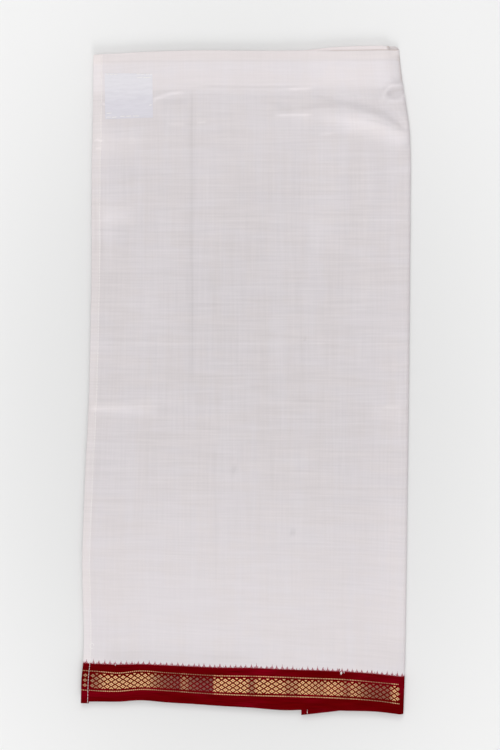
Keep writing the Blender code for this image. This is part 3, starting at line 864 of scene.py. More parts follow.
def placed_group(tree, name, maker, **values):
    """A group placed in a material with its own values, and made first if it isn't there yet. Its
    outputs come back by name."""
    node = tree.nodes.new("ShaderNodeGroup")
    node.node_tree = bpy.data.node_groups.get(name) or maker(name)
    for key, value in values.items():
        fill(tree, node.inputs[key], value)
    return {socket.name: Value(tree, socket) for socket in node.outputs}


def weave_group(name):
    """A plain weave, as a height from 0 to 1: at each crossing it shows the thread on top.

    u and v run half a turn to a thread. A thread's back is |sin|, and the share of the warp on top
    is w = 1/2 + 1/2 * cos u * cos v. height = max(|sin u| * w, |sin v| * (1 - w)).
    """
    tree, given, put = new_group(name, {"Vector": None, "Warp": 2200.0, "Weft": 2200.0}, ["Height"])
    u, v = (
        axis(tree, given["Vector"], number) * given[threads] * np.pi
        for number, threads in enumerate(("Warp", "Weft"))
    )
    warp_on_top = u.math("COSINE") * v.math("COSINE") * 0.5 + 0.5
    warp = u.math("SINE").math("ABSOLUTE") * warp_on_top
    weft = v.math("SINE").math("ABSOLUTE") * (1.0 - warp_on_top)
    fill(tree, put["Height"], warp.math("MAXIMUM", weft))
    return tree


def slub_group(name):
    """Uneven yarns as streaks along both threads, a tone from -1 to 1, and their patches, 0 to 1.

    Each streak is noise that changes fast across its thread and slowly along it. Fine ones are a
    thread or two wide, broad ones a finger's width.
    """
    tree, given, put = new_group(name, {"Vector": None}, ["Tone", "Broad"])
    vector = given["Vector"]
    weft = (streaks_of(tree, vector, WEFT_YARNS) - 0.5).times_plus(1.25, 0.5)
    warp = (streaks_of(tree, vector, WARP_YARNS) - 0.5).times_plus(0.75, 0.5)
    broad = streaks_of(tree, vector, BROAD_WEFT) + streaks_of(tree, vector, BROAD_WARP)
    fill(tree, put["Tone"], (weft + warp - 1.0).times_plus(2.6, broad - 1.0))
    fill(tree, put["Broad"], broad * 0.5)
    return tree


def weave_vector(tree):
    """The cloth's own coordinates: metres along the route and metres across the cloth."""
    return made_node(tree, "ShaderNodeUVMap", {}, uv_map=WEAVE_UV)


def new_material(name, roughness, **constants):
    """A Principled material; what is the same all over sits on the shader's own sockets."""
    material = bpy.data.materials.new(name)
    material.use_nodes = True
    shader = material.node_tree.nodes["Principled BSDF"]
    shader.inputs["Roughness"].default_value = roughness
    for socket, value in constants.items():
        shader.inputs[socket.replace("_", " ")].default_value = value
    return material, material.node_tree


def dress(material, colour, height=None, distance=0.0, strength=0.5):
    """Give a material its colour, and its bump: height times distance in metres."""
    tree = material.node_tree
    shader = tree.nodes["Principled BSDF"]
    fill(tree, shader.inputs["Base Color"], colour)
    if height is not None:
        inputs = {"Height": height, "Distance": distance, "Strength": strength}
        fill(tree, shader.inputs["Normal"], made_node(tree, "ShaderNodeBump", inputs))
    return material


def material_of(name, maker, *given):
    """The material of that name, made by maker(name, *given) if it isn't there yet."""
    return bpy.data.materials.get(name) or maker(name, *given)


PAINTED_LIGHT_GAIN = 1.15  # painted light: the cloth's ends against its middle
CREASE_SHADING_STRENGTH = 0.12  # how far a crease's tone of 1 lightens the cloth, as painted highlight (painted shade below 0)
SLUB = 0.055  # how far a yarn's tone of 1 does
HEM_TINT = (1.075, 1.068, 1.055)  # lighter and warmer, where it is rolled double
# painted light: the inner leaves, seen only where their folds show past the front, painted lighter
INNER_PAINTED_LIGHT = (1.07, 1.06, 1.06)
THREADS_A_METRE = {"Warp": 1500.0, "Weft": 2600.0}  # in the border, where the weft is beaten close

# Each goes from nothing at its first value to all of it at its second.
COOLER = (0.4, 0.6)  # of the broad streaks
FOLD_TINT_BAND = (0.0125, 0.006)  # in metres off the top fold
SHADE_BROWNING = (0.75, 1.5)  # of a crease's tone, below 0: painted shade that turns brown

# Where painted light makes the cloth paler, in metres off the top fold, and by what share of the whole.
PAINTED_LIGHT_BANDS = table("far near share", (
    (0.0385, 0.0325, 0.5), (0.046, 0.036, 0.22), (0.16, 0.06, 0.28),
))
PAINTED_LIGHT_BY_BORDER = table("far near share", ((0.56, 0.36, 0.68),))[0]


def off_top_fold(tree, vector):
    """Metres up or down the cloth from the top fold."""
    return (axis(tree, vector, 1) - LEAF * MM).math("ABSOLUTE")


def by_top_fold(tree, vector, far, near):
    """A mask that is 0 from `far` metres off the top fold and 1 within `near` of it."""
    return 1.0 - ramp(tree, off_top_fold(tree, vector), near, far)


def painted_end_light(tree, vector):
    """A mask of the cloth's height, where painted light makes it paler: 1 in the band
    under the top fold, a little below it and by the border, and 0 through the
    middle. Both layers are alike."""
    low = PAINTED_LIGHT_BY_BORDER
    mask = ramp(tree, off_top_fold(tree, vector), low.near, low.far) * low.share
    for band in PAINTED_LIGHT_BANDS:
        mask = by_top_fold(tree, vector, band.far, band.near).times_plus(band.share, mask)
    return mask


def ground_material(name, colours, tint=(1.0, 1.0, 1.0)):
    """White cloth: uneven yarns, warm and cool patches, painted highlight and shade along its creases,
    painted light towards its ends and a fine plain weave.
    """
    material, tree = new_material(name, 0.58, Sheen_Weight=0.12, Sheen_Roughness=0.4)
    vector = weave_vector(tree)
    slubs = placed_group(tree, "slub yarns", slub_group, Vector=vector)
    base = tinted(colours.ground, *tint)
    warm, cool = tinted(base, 1.0, 0.992, 0.985), tinted(base, 0.992, 0.993, 1.0)
    fold_tint, shaded_brown = tinted(base, 1.0, 0.982, 0.962), tinted(base, 0.95, 0.87, 0.79)
    shade = mix_colour(tree, ramp(tree, slubs["Broad"], *COOLER), warm, cool)
    # a warmer, slightly darker tint near the top fold
    shade = mix_colour(tree, by_top_fold(tree, vector, *FOLD_TINT_BAND), shade, fold_tint)
    # the crease attribute holds painted highlight above 0 and painted shade below 0
    crease = attribute(tree, "crease")
    # deep painted shade, in the creases and the gaps between folds, is painted brown
    shade = mix_colour(tree, ramp(tree, crease * -1.0, *SHADE_BROWNING), shade, shaded_brown)
    # painted light: the cloth painted paler towards its ends than through its middle
    ends = painted_end_light(tree, vector)
    # single yarns show less where painted light makes the cloth paler
    strength = ends.math("MULTIPLY", 1.4, clamp=True).times_plus(-0.5 * SLUB, 1.1 * SLUB)
    factor = slubs["Tone"].times_plus(strength, crease.times_plus(CREASE_SHADING_STRENGTH, 1.0))
    factor = ends.times_plus(PAINTED_LIGHT_GAIN - 1.0, factor)
    weave = placed_group(tree, "plain weave", weave_group, Vector=vector)
    height = weave["Height"].times_plus(0.5, slubs["Tone"])
    return dress(material, scaled_colour(tree, shade, factor), height, 0.00006)


def maroon_material(name, colours):
    """Dense maroon weave: ribs across, thread-to-thread differences and a lighter crimson bloom."""
    material, tree = new_material(name, 0.9, Specular_IOR_Level=0.0)
    vector = weave_vector(tree)
    bloom = ramp(tree, streaks_of(tree, vector, MAROON_BLOOM), 0.35, 0.75)
    threads = ramp(tree, streaks_of(tree, vector, MAROON_THREADS), 0.42, 0.62)
    tint = mix_colour(tree, bloom, colours.maroon, colours.crimson)
    shade = mix_colour(tree, threads, tint, tinted(colours.maroon, 0.72))
    weave = placed_group(tree, "plain weave", weave_group, Vector=vector, **THREADS_A_METRE)
    return dress(material, shade, weave["Height"], 0.0001, 0.6)


def gold_material(name, colours, tone):
    """Flat gold thread: painted highlight where the shine attribute is 1 and painted shade, a dark
    gold, where it is 0. The bright one is `tone` times its colour."""
    material, tree = new_material(name, 0.45, Specular_IOR_Level=0.8)
    flecks = streaks_of(tree, weave_vector(tree), GOLD_FLECKS)
    bright = mix_colour(tree, flecks, tinted(colours.gold, tone), tinted(colours.pale_gold, tone))
    # painted highlight and shade on the gold, by the shine attribute
    shade = mix_colour(tree, attribute(tree, "shine"), colours.gold_in_shade, bright)
    return dress(material, shade, flecks, 0.00006)


def copper_material(name, colours):
    """Copper thread of the bead lines, with painted shade where the shine attribute falls."""
    material, tree = new_material(name, 0.45, Metallic=0.12)
    # painted shade: the copper darkened where the shine attribute falls
    dull = tinted(colours.copper, 0.3)
    shade = mix_colour(tree, attribute(tree, "shine"), dull, colours.copper)
    flecks = streaks_of(tree, weave_vector(tree), COPPER_FLECKS)
    return dress(material, shade, flecks, 0.00005)


def thread_material(name, colour, roughness=0.6):
    """Twisted sewing thread: fine diagonal turns."""
    material, tree = new_material(name, roughness, Sheen_Weight=0.1)
    vector = made_node(tree, "ShaderNodeTexCoord", {}, "Object")
    turns = streaks_of(tree, vector, THREAD_TWIST)
    return dress(material, mix_colour(tree, turns, colour, tinted(colour, 0.86)), turns, 0.00005)


def label_material(name, colours):
    """Thin satin: bluish white, ribbed along, greyer towards its lower end."""
    material, tree = new_material(name, 0.5, Sheen_Weight=0.1)
    vector = weave_vector(tree)
    ribs = streaks_of(tree, vector, SATIN_RIBS)
    folds = streaks_of(tree, vector, SATIN_FOLDS)
    rise = ramp(tree, folds.times_plus(0.02, axis(tree, vector, 1)), 0.020, 0.046)
    shade = mix_colour(tree, rise, tinted(colours.label, 0.905, 0.90, 0.925), colours.label)
    shade = scaled_colour(tree, shade, (ribs + folds).times_plus(0.1, 0.9))
    return dress(material, shade, folds, 0.0004, 0.6)


def floor_material(name, colours):
    """Plain matt paper, painted darker towards the middle as painted shade."""
    material, tree = new_material(name, 0.9, Specular_IOR_Level=0.2)
    where = made_node(tree, "ShaderNodeTexCoord", {}, "Object")
    inputs = {"Vector": where, "Scale": (1.25, 0.8, 1.0), "Location": (0.012, 0.03, 0.0)}
    oval = made_node(tree, "ShaderNodeMapping", inputs)
    length = made_node(tree, "ShaderNodeVectorMath", {0: oval}, "Value", operation="LENGTH")
    # painted shade: the floor darker towards the middle, brighter towards the corners
    away = ramp(tree, length, 0.15, 0.44)
    return dress(material, mix_colour(tree, away, tinted(colours.floor, 0.852), colours.floor))


# ---- what a user would change -------------------------------------------------------------------


def length_property(name, description, default):
    """A length in metres."""
    return FloatProperty(name=name, description=description, default=default, unit="LENGTH")


def colour_property(name, description, default):
    """A colour whose channels are shares of white."""
    return FloatVectorProperty(
        name=name, description=description, default=default, subtype="COLOR", min=0.0, max=1.0
    )


class DhotiSizes(PropertyGroup):
    """Sizes that can change without touching the solids."""

    leaf_pitch: length_property("Leaf pitch", "From one doubled leaf to the next", 0.00058)
    cloth_thickness: length_property("Cloth thickness", "Of a single layer", 0.00018)
    layer_spread: length_property("Layer spread", "From a leaf's middle to each layer", 0.000145)
    hem_thickness: length_property("Hem thickness", "Of one rolled hem, pressed flat", 0.00042)
    zari_pitch: length_property("Zari pitch", "From one column of diamonds to the next", 0.00345)
    stitch_length: length_property("Stitch length", "Of the hem's machine stitch", 0.0022)


class DhotiColours(PropertyGroup):
    """Colours, in linear light."""

    ground: colour_property("Ground", "The white cloth", (0.652, 0.613, 0.628))
    maroon: colour_property("Maroon", "The border's plain weave", (0.133, 0.0006, 0.0016))
    crimson: colour_property("Crimson", "Where its weave is lighter", (0.215, 0.0006, 0.0085))
    gold: colour_property("Gold", "Zari thread in the light", (1.0, 0.53, 0.19))
    pale_gold: colour_property("Pale gold", "Zari thread at its brightest", (1.0, 0.68, 0.34))
    # painted shade: the gold where the band's folds turn it from the light
    gold_in_shade: colour_property("Old gold", "Zari thread turned away", (0.15, 0.025, 0.008))
    copper: colour_property("Copper", "The bead lines", (0.95, 0.58, 0.30))
    pink: colour_property("Pink", "The temple teeth", (0.36, 0.055, 0.09))
    thread: colour_property("Thread", "Sewing thread", (0.90, 0.87, 0.86))
    label: colour_property("Label", "The label's satin", (0.735, 0.716, 0.758))
    floor: colour_property("Floor", "The surface it lies on", (0.90, 0.90, 0.898))


# ---- cloth pieces -------------------------------------------------------------------------------

BACK_BELOW = 3.0  # what lies lower than this belongs to the back leaf
BACK_TURNED_AT = 10.0  # Y of the middle that the back leaf's creases are turned about


def crease_shading(points):
    """How much painted highlight or shade each point takes from the creases. The back leaf has the
    front's creases, turned half round.
    """
    x, y, z = points.T / MM
    upper = z > BACK_BELOW
    return creases_at(np.where(upper, x, -x), np.where(upper, y, 2 * BACK_TURNED_AT - y))[1]


class DHOTI_OT_front_ground(Operator):
    """Make the white ground of the front leaf, round the right-hand fold and along the back"""

    bl_idname = "dhoti.front_ground"
    bl_label = "Front ground"

    def execute(self, context):
        sizes, colours = context.scene.dhoti_sizes, context.scene.dhoti_colours
        place, run = front_columns()
        down = ground_rows(INNER_ROWS)[::-1]
        pin = hairpin(ground_rows(FRONT_ROWS), down, sizes.layer_spread / MM, FRONT_ARC)
        made = cloth_wall(FRONT_ROUTE, place, run, pin, sizes)
        material = material_of("ground cloth", ground_material, colours)
        add_piece("front_ground", made, material, "ground", ["front_cloth"], crease=crease_shading)
        return {"FINISHED"}


def two_strips(route, place, run, sizes):
    """The border's stripe on both layers of a leaf: the outer one up and the inner one down."""
    rows = border_rows()
    layers = two_layers(hairpin(rows, rows[::-1], sizes.layer_spread / MM, 0), len(rows))
    return joined([cloth_wall(route, place, run, layer, sizes) for layer in layers])


class DHOTI_OT_front_border(Operator):
    """Make the maroon border of the front leaf and the back leaf"""

    bl_idname = "dhoti.front_border"
    bl_label = "Front border"

    def execute(self, context):
        sizes, colours = context.scene.dhoti_sizes, context.scene.dhoti_colours
        place, run = front_columns()
        made = two_strips(FRONT_ROUTE, place, run, sizes)
        maroon = material_of("maroon border", maroon_material, colours)
        add_piece("front_border", made, maroon, "maroon", ["front_border_lower", "front_border_upper"])
        return {"FINISHED"}


class DHOTI_OT_inner_leaves(Operator):
    """Make the leaves folded away inside, out to the second cut end"""

    bl_idname = "dhoti.inner_leaves"
    bl_label = "Inner leaves"

    def execute(self, context):
        sizes, colours = context.scene.dhoti_sizes, context.scene.dhoti_colours
        place, run = route_columns(INNER_ROUTE, *INNER_COLUMNS)
        rows = ground_rows(INNER_ROWS)
        pin = hairpin(rows, rows[::-1], sizes.layer_spread / MM, INNER_ARC)
        made = cloth_wall(INNER_ROUTE, place, run, pin, sizes)
        material = material_of("inner cloth", ground_material, colours, INNER_PAINTED_LIGHT)
        replaced = ["folded_cloth", "second_cloth"]
        add_piece("inner_ground", made, material, "ground", replaced, crease=crease_shading)
        made = two_strips(INNER_ROUTE, place, run, sizes)
        maroon = material_of("maroon border", maroon_material, colours)
        replaced = ["folded_border", "second_border_lower", "second_border_upper", "second_zari"]
        add_piece("inner_border", made, maroon, "maroon", replaced)
        return {"FINISHED"}


# ---- zari ---------------------------------------------------------------------------------------

# A column's motifs, up from the lower bead line in millimetres. Odd-numbered columns have three
# whole diamonds. Even-numbered ones have two, with a dash above them and a chevron below.
THREE_DIAMONDS = (4.5, 9.2, 13.9)
TWO_DIAMONDS = (6.85, 11.55)
DASH_AT = 15.7
CHEVRON_AT = 2.7
DIAMOND_HALF = (2.15, 1.80)
FLOATS = 9  # gold threads to a diamond
HOLLOW = 1.35  # above 1 a diamond's sides curve in towards its heart
HEARTS = ((0.05, 0.78), (0.25, 0.62))  # how far the threads near its middle are cut back
HEART_SHADE = 0.10  # of the gold's brightness: darker gold as painted shade in the open hearts

# Threads of the smaller motifs, about their own height and the column's line.
DASH = table("rise reach", ((0.40, 1.2), (0.0, 0.8), (-0.4, 0.35)))
HEART = table("rise reach", ((-0.34, 0.55), (0.0, 0.68), (0.34, 0.55)))
CHEVRON = table("rise inner outer", (
    (1.05, 0.0, 0.6), (0.6, 0.0, 1.05), (0.15, 0.25, 1.5), (-0.3, 0.8, 1.9),
))

# The columns lie closer where the weaver beat the weft harder: millimetres between them along X.
SPACINGS = table("x pitch", (
    (-160.0, 3.5), (-108.0, 3.56), (-96.0, 3.32), (-66.0, 3.02), (-50.0, 3.2), (-34.0, 3.3),
    (-24.0, 3.56), (2.0, 3.62), (13.0, 3.8), (40.0, 3.78), (52.0, 3.22), (93.0, 3.3),
    (105.0, 3.36), (150.0, 3.28),
))
A_COLUMN_AT = -30.5  # X of one of the columns with two whole diamonds
SUM_STEP = 0.1  # in X, where their numbers are summed up

# Painted highlight and shade on the gold along the band, by how its folds turn it to the light.
SHINES = table("x shine", (
    (-157.0, 0.35), (-147.0, 0.3), (-143.4, 0.22), (-139.0, 0.66), (-134.0, 0.96), (-94.0, 0.94),
    (-87.1, 0.45), (-80.0, 0.15), (-65.1, 0.0), (-63.2, 0.0), (-61.8, 0.5), (-56.5, 0.4),
    (-54.6, 0.1), (-43.0, 0.0), (-31.8, 0.0), (-31.0, 1.0), (1.0, 0.97), (3.0, 0.3), (7.0, 0.3),
    (10.0, 0.97), (35.1, 0.97), (38.0, 0.55), (47.6, 0.55), (50.5, 0.95), (60.5, 0.97),
    (66.0, 0.72), (72.0, 0.65), (77.0, 0.97), (84.0, 0.97), (91.0, 0.75), (94.8, 0.35),
    (98.2, 0.35), (100.1, 0.88), (108.7, 0.55), (111.5, 0.3), (122.0, 0.1), (137.0, 0.12),
    (140.2, 0.97), (144.0, 0.97), (147.8, 0.05), (154.0, 0.05),
))

# A flat gold thread's section (across, out), in millimetres.
FLOAT_SECTION = np.array([(-0.20, 0.0), (-0.12, 0.10), (0.12, 0.10), (0.20, 0.0)])
BEAD_SECTION = np.array([(-0.46, 0.0), (-0.28, 0.17), (0.28, 0.17), (0.46, 0.0)])
BEAD_PITCH = 1.62
BEAD = 0.90
GOLD_END = 146.9  # X where the front's gold stops short of the fold
LOOKS = 1200  # places along a surface at which its X is looked up
GRID_STEP = (0.7, 0.8)  # of the grid that threads are laid on: along the run and up the leaf


def diamond_floats(v_middle):
    """The threads of one diamond: height, start and end, about the column's own line.

    A thread's half-length is across * (1 - |step|) ** HOLLOW, step being -1 to 1 up the diamond.
    Those nearest the middle are cut in two, which leaves the heart open.
    """
    across, up = DIAMOND_HALF
    floats = []
    for step in np.linspace(-1.0, 1.0, FLOATS + 2)[1:-1]:
        reach = across * (1.0 - abs(step)) ** HOLLOW
        heart = max([gap for limit, gap in HEARTS if abs(step) < limit], default=None)
        halves = [(-reach, reach)] if heart is None else [(-reach, -heart), (heart, reach)]
        floats += [(v_middle + up * step, *half) for half in halves]
    return floats


def chevron_floats(v_middle):
    """A roof shape, solid at its top and open below: each thread and its mirror image."""
    floats = []
    for rise, inner, outer in CHEVRON:
        floats += [(v_middle + rise, inner, outer), (v_middle + rise, -outer, -inner)]
    return floats


def dash_floats(v_middle):
    """The lower half of a diamond, cut off by the bead line."""
    return [(v_middle + rise, -reach, reach) for rise, reach in DASH]


def heart_floats(v_middle):
    """Dark gold threads in a diamond's open heart, as painted shade in its hollow."""
    return [(v_middle + rise, -reach, reach) for rise, reach in HEART]


def at_x(surface, v, reach, x):
    """The run along a surface at which it passes X, in millimetres, before the fold turns it back."""
    runs = np.linspace(*reach, LOOKS)
    passed = surface(runs, 0 * runs + v, 0.0)[:, 0] / MM
    ahead = slice(0, np.argmax(passed) + 1)
    return np.interp(x, passed[ahead], runs[ahead])


def column_places(surface, s_low, s_high, pitch):
    """Where the columns' lines stand along the run: along the front by the sums of SPACINGS, and at
    an even pitch round the fold and behind. The even-numbered ones have two whole diamonds."""
    x = np.arange(SPACINGS[0].x, GOLD_END + 2.0 * pitch, SUM_STEP)
    counted = np.cumsum(SUM_STEP / curve(SPACINGS, "x", "pitch", x))
    counted -= np.interp(A_COLUMN_AT, x, counted)
    numbers = np.arange(np.ceil(counted[0]), np.floor(counted[-1]))
    along = at_x(surface, BORDER / 2, (s_low, s_high), np.interp(numbers, counted, x))
    kept = (along > s_low + pitch / 2) & (np.diff(along, append=along[-1]) > pitch / 3)
    numbers, along = numbers[kept], along[kept]
    behind = np.arange(along[-1] + pitch, s_high - pitch / 3, pitch)
    numbers = np.append(numbers, numbers[-1] + 1 + np.arange(len(behind)))
    return numbers, np.append(along, behind)


def motifs(diamond, others):
    """The threads of a column with three diamonds, and those of one with two and these others."""
    whole = sum((diamond(v) for v in THREE_DIAMONDS), [])
    broken = sum((diamond(v) for v in TWO_DIAMONDS), others)
    return whole, broken


def zari_floats(surface, s_low, s_high, pitch, whole, broken):
    """The threads of the band's columns between two places along it: rows of s, v, s, v."""
    numbers, along = column_places(surface, s_low, s_high, pitch)
    wide = np.gradient(along) / pitch if len(along) > 1 else np.ones(len(along))
    floats = []
    for number, s, width in zip(numbers, along, wide):
        motif = broken if number % 2 == 0 else whole
        floats += [(s + a * width, LOW_LINE + v, s + b * width, LOW_LINE + v) for v, a, b in motif]
    return np.array(floats)


def bead_floats(s_low, s_high):
    """The copper beads of both lines."""
    starts = np.arange(s_low, s_high - BEAD, BEAD_PITCH)
    lines = []
    for line in (LOW_LINE, HIGH_LINE):
        v = 0 * starts + line
        lines.append(np.stack([starts, v, starts + BEAD, v], -1))
    return np.concatenate(lines)


def lay_threads(surface, floats, section, steps=1, tip=1.0, arch=0.0):
    """Closed threads laid on a surface(s, v, out): each float runs from (s, v) to (s, v).

    A thread is its section carried along the float in `steps` pieces. The section shrinks to `tip`
    at both ends, and the middle stands `arch` further out, on a half wave.
    """
    count, sides = len(floats), len(section)
    share = np.linspace(0.0, 1.0, steps + 1)[None, :, None]
    start, end = floats[:, None, None, :2], floats[:, None, None, 2:4]
    way = end - start
    length = np.hypot(way[..., 0], way[..., 1])
    aside = np.stack([-way[..., 1], way[..., 0]], axis=-1) / length[..., None]
    taper = tip + (1.0 - tip) * np.sin(np.pi * share)
    middle = start + way * share[..., None]
    across = section[None, None, :, 0] * taper
    centre = middle + aside * across[..., None]
    out = section[None, None, :, 1] * taper + arch * np.sin(np.pi * share)
    out = np.broadcast_to(out, (count, steps + 1, sides))
    points = surface(centre[..., 0].ravel(), centre[..., 1].ravel(), out.ravel())
    per, ring = (steps + 1) * sides, np.arange(sides)
    ahead = np.roll(ring, -1)
    body = [np.stack([ring, ahead, ahead + sides, ring + sides], -1) + k * sides for k in range(steps)]
    fan = np.array([[0, i, i + 1, i + 2] for i in range(1, sides - 2, 2)])
    one = np.concatenate(body + [fan[:, ::-1], fan + steps * sides])[:, ::-1]
    faces = (one[None] + per * np.arange(count)[:, None, None]).reshape(-1, 4)
    uv = np.stack([centre[..., 0].ravel(), centre[..., 1].ravel()], axis=-1) * MM
    return points, faces, uv


def layer_surface(route, place, run, s_range, v_range, sizes):
    """The outer layer's face as a function of run s, height v and millimetres out.

    The layer is worked out once on a fine even grid, and read between its points.
    """
    base = (sizes.layer_spread + sizes.cloth_thickness / 2) / MM
    runs, rows = (
        np.linspace(low, high, int((high - low) / step) + 2)
        for (low, high), step in zip((s_range, v_range), GRID_STEP)
    )
    grids = route_points(route, np.interp(runs, run, place), rows, sizes.leaf_pitch / MM)

    def surface(s, v, out):
        fi = np.clip((s - runs[0]) / (runs[1] - runs[0]), 0, len(runs) - 1.001)
        fj = np.clip((v - rows[0]) / (rows[1] - rows[0]), 0, len(rows) - 1.001)
        i, j = fi.astype(int), fj.astype(int)
        a, b = fi - i, fj - j

        def read(grid):
            low = grid[i, j] * (1 - a) + grid[i + 1, j] * a
            high = grid[i, j + 1] * (1 - a) + grid[i + 1, j + 1] * a
            return low * (1 - b) + high * b

        x, y, z, nx, nz = (read(grid) for grid in grids)
        return np.stack([x + nx * (base + out), y, z + nz * (base + out)], axis=-1) * MM

    return surface


def front_layer(v_low, v_high, sizes):
    """The outer face of the front leaf and the back leaf, and the run that it reaches over."""
    place, run = front_columns()
    reach = (run[0], np.interp(BACK_END, place, run))
    return layer_surface(FRONT_ROUTE, place, run, reach, (v_low, v_high), sizes), reach


def shine_at(points):
    """How much painted highlight the gold has at each point, straight between the rows of SHINES."""
    return np.interp(points[:, 0] / MM, column(SHINES, "x"), column(SHINES, "shine"))


def clear_of_fold(surface, floats):
    """The floats that don't lie in the plain strip at the front's fold."""
    x = surface(floats[:, 2], floats[:, 3], 0.0)[:, 0] / MM
    return floats[x < GOLD_END]


def add_zari(name, surface, s_low, s_high, context, stands_for):
    """The diamonds, their hearts in painted shade and the bead lines on a surface, from one place along
    it to another. The diamonds stand for the band's solid."""
    sizes, colours = context.scene.dhoti_sizes, context.scene.dhoti_colours
    others = dash_floats(DASH_AT) + chevron_floats(CHEVRON_AT)
    ways = (
        ("diamonds", motifs(diamond_floats, others), "zari thread", 1.0),
        ("hearts", motifs(heart_floats, []), "heart thread", HEART_SHADE),
    )
    for part, (whole, broken), material, tone in ways:
        floats = zari_floats(surface, s_low, s_high, sizes.zari_pitch / MM, whole, broken)
        made = lay_threads(surface, clear_of_fold(surface, floats), FLOAT_SECTION)
        gold = material_of(material, gold_material, colours, tone)
        replaced = stands_for if part == "diamonds" else ()
        add_piece(f"{name}_{part}", made, gold, "zari", replaced, rounded=False, shine=shine_at)
    floats = clear_of_fold(surface, bead_floats(s_low, s_high))
    made = lay_threads(surface, floats, BEAD_SECTION, steps=2, tip=0.7)
    copper = material_of("copper beads", copper_material, colours)
    add_piece(f"{name}_beads", made, copper, "zari", rounded=False, shine=shine_at)


class DHOTI_OT_zari(Operator):
    """Lay the gold threads of the zari band on the front leaf, round the fold and along the back"""

    bl_idname = "dhoti.zari"
    bl_label = "Zari band"

    def execute(self, context):
        sizes = context.scene.dhoti_sizes
        surface, reach = front_layer(0.0, BORDER, sizes)
        low, high = reach[0] + UNDER_HEM + 0.2, reach[1] - 0.5
        add_zari("zari", surface, low, high, context, ["front_zari"])
        return {"FINISHED"}


# ---- temple teeth -------------------------------------------------------------------------------

TOOTH_PITCH = 4.95
TOOTH_THREADS = table("aside height", (
    (-1.3, 0.7), (-0.85, 1.4), (-0.4, 2.5), (0.0, 3.9), (0.4, 2.7), (0.85, 1.5), (1.3, 0.8),
))
STUB_PITCH = 0.9  # of the short threads between the teeth
RAG_PITCH = 0.55  # of those along the border's top
FOOT = 0.3  # how far below the border's top a thread starts
STRAY = 0.35  # of a tooth from its even place
LEAN = 0.3  # of its top, and the stray of a stub
TOOTH_TALL = (0.7, 1.15)  # a tooth's height against the usual one
THREAD_TALL = (0.85, 1.15)  # and a thread's against its tooth's
TEETH_ON_HEM = (0.2, 8.8)  # from the hem's outer edge
RAGS_ON_HEM = (0.8, 7.4)
TEETH_SEED, HEM_TEETH_SEED, RAGS_SEED, HEM_RAGS_SEED = 3, 4, 5, 6
TOOTH_SECTION = np.array([(-0.2, 0.0), (-0.12, 0.06), (0.12, 0.06), (0.2, 0.0)])
RAG_SECTION = TOOTH_SECTION * 1.15
PULLED_SECTION = TOOTH_SECTION * 1.5

# Where a few maroon threads were pulled, and white ones show through: X, and how high up.
WHITE_SNAGS = table("x low high", (
    (-125.0, -0.9, 0.3), (90.2, -2.6, -0.6), (90.8, -3.2, 0.2), (91.4, -2.0, -0.4), (93.4, -1.6, 0.1),
))
RED_SNAGS = table("x low high", ((88.2, 0.4, 2.0), (88.7, 0.2, 2.8), (89.2, 0.5, 2.2)))

# A loose end of thread, curled up beside the hem: its middle, and how far it reaches.
LOOSE_END = table("x v across along", ((-147.5, 53.5, 1.9, 2.7),))[0]
LOOP_STEPS = 14
OVERLAP = 1.08
BY_BORDER = (BORDER - 6.0, BORDER + 24.0)  # what the teeth, the snags and the loose end lie on


def tooth_floats(s_low, s_high, seed):
    """Seven upright threads to a tooth, the middle one tallest, and short stubs between the teeth.
    A thread is its own height times its tooth's, and no two teeth are quite alike."""
    rng = np.random.default_rng(seed)
    middles = np.arange(s_low + TOOTH_PITCH / 2, s_high - 1.5, TOOTH_PITCH)
    middles = middles + rng.uniform(-STRAY, STRAY, len(middles))
    tall = rng.uniform(*TOOTH_TALL, len(middles))
    lean = rng.uniform(-LEAN, LEAN, len(middles))
    threads = []
    for aside, height in TOOTH_THREADS:
        top = BORDER + height * tall * rng.uniform(*THREAD_TALL, len(middles))
        foot = 0 * middles + BORDER - FOOT
        threads.append(np.stack([middles + aside, foot, middles + aside + lean, top], -1))
    between = np.arange(s_low, s_high, STUB_PITCH)
    between = between + rng.uniform(-LEAN, LEAN, len(between))
    top = BORDER + 0.5 + 1.6 * rng.random(len(between)) ** 2
    threads.append(np.stack([between, 0 * between + BORDER - FOOT, between, top], -1))
    return np.concatenate(threads)


def ragged_floats(s_low, s_high, seed):
    """Short maroon threads along the border's top, so that its edge isn't quite even."""
    rng = np.random.default_rng(seed)
    at = np.arange(s_low, s_high, RAG_PITCH)
    high = BORDER + rng.uniform(-0.1, 0.3, len(at)) + 0.5 * rng.random(len(at)) ** 4
    return np.stack([at, 0 * at + BORDER - 0.5, at, high], -1)


def snag_floats(surface, reach, snags):
    """One upright thread for each snag, from its low to its high above the border's top."""
    at = at_x(surface, BORDER, reach, column(snags, "x"))
    return np.stack([at, BORDER + column(snags, "low"), at, BORDER + column(snags, "high")], -1)


def loop_floats(surface, reach):
    """A thread curled round an oval, as short straight pieces that overlap a little."""
    angle = np.arange(LOOP_STEPS) * 2.0 * np.pi / LOOP_STEPS
    ahead = angle + OVERLAP * 2.0 * np.pi / LOOP_STEPS
    s, v = at_x(surface, LOOSE_END.v, reach, LOOSE_END.x), LOOSE_END.v
    across, along = LOOSE_END.across, LOOSE_END.along
    return np.stack([s + across * np.cos(angle), v + along * np.sin(angle),
                     s + across * np.cos(ahead), v + along * np.sin(ahead)], -1)[:-2]


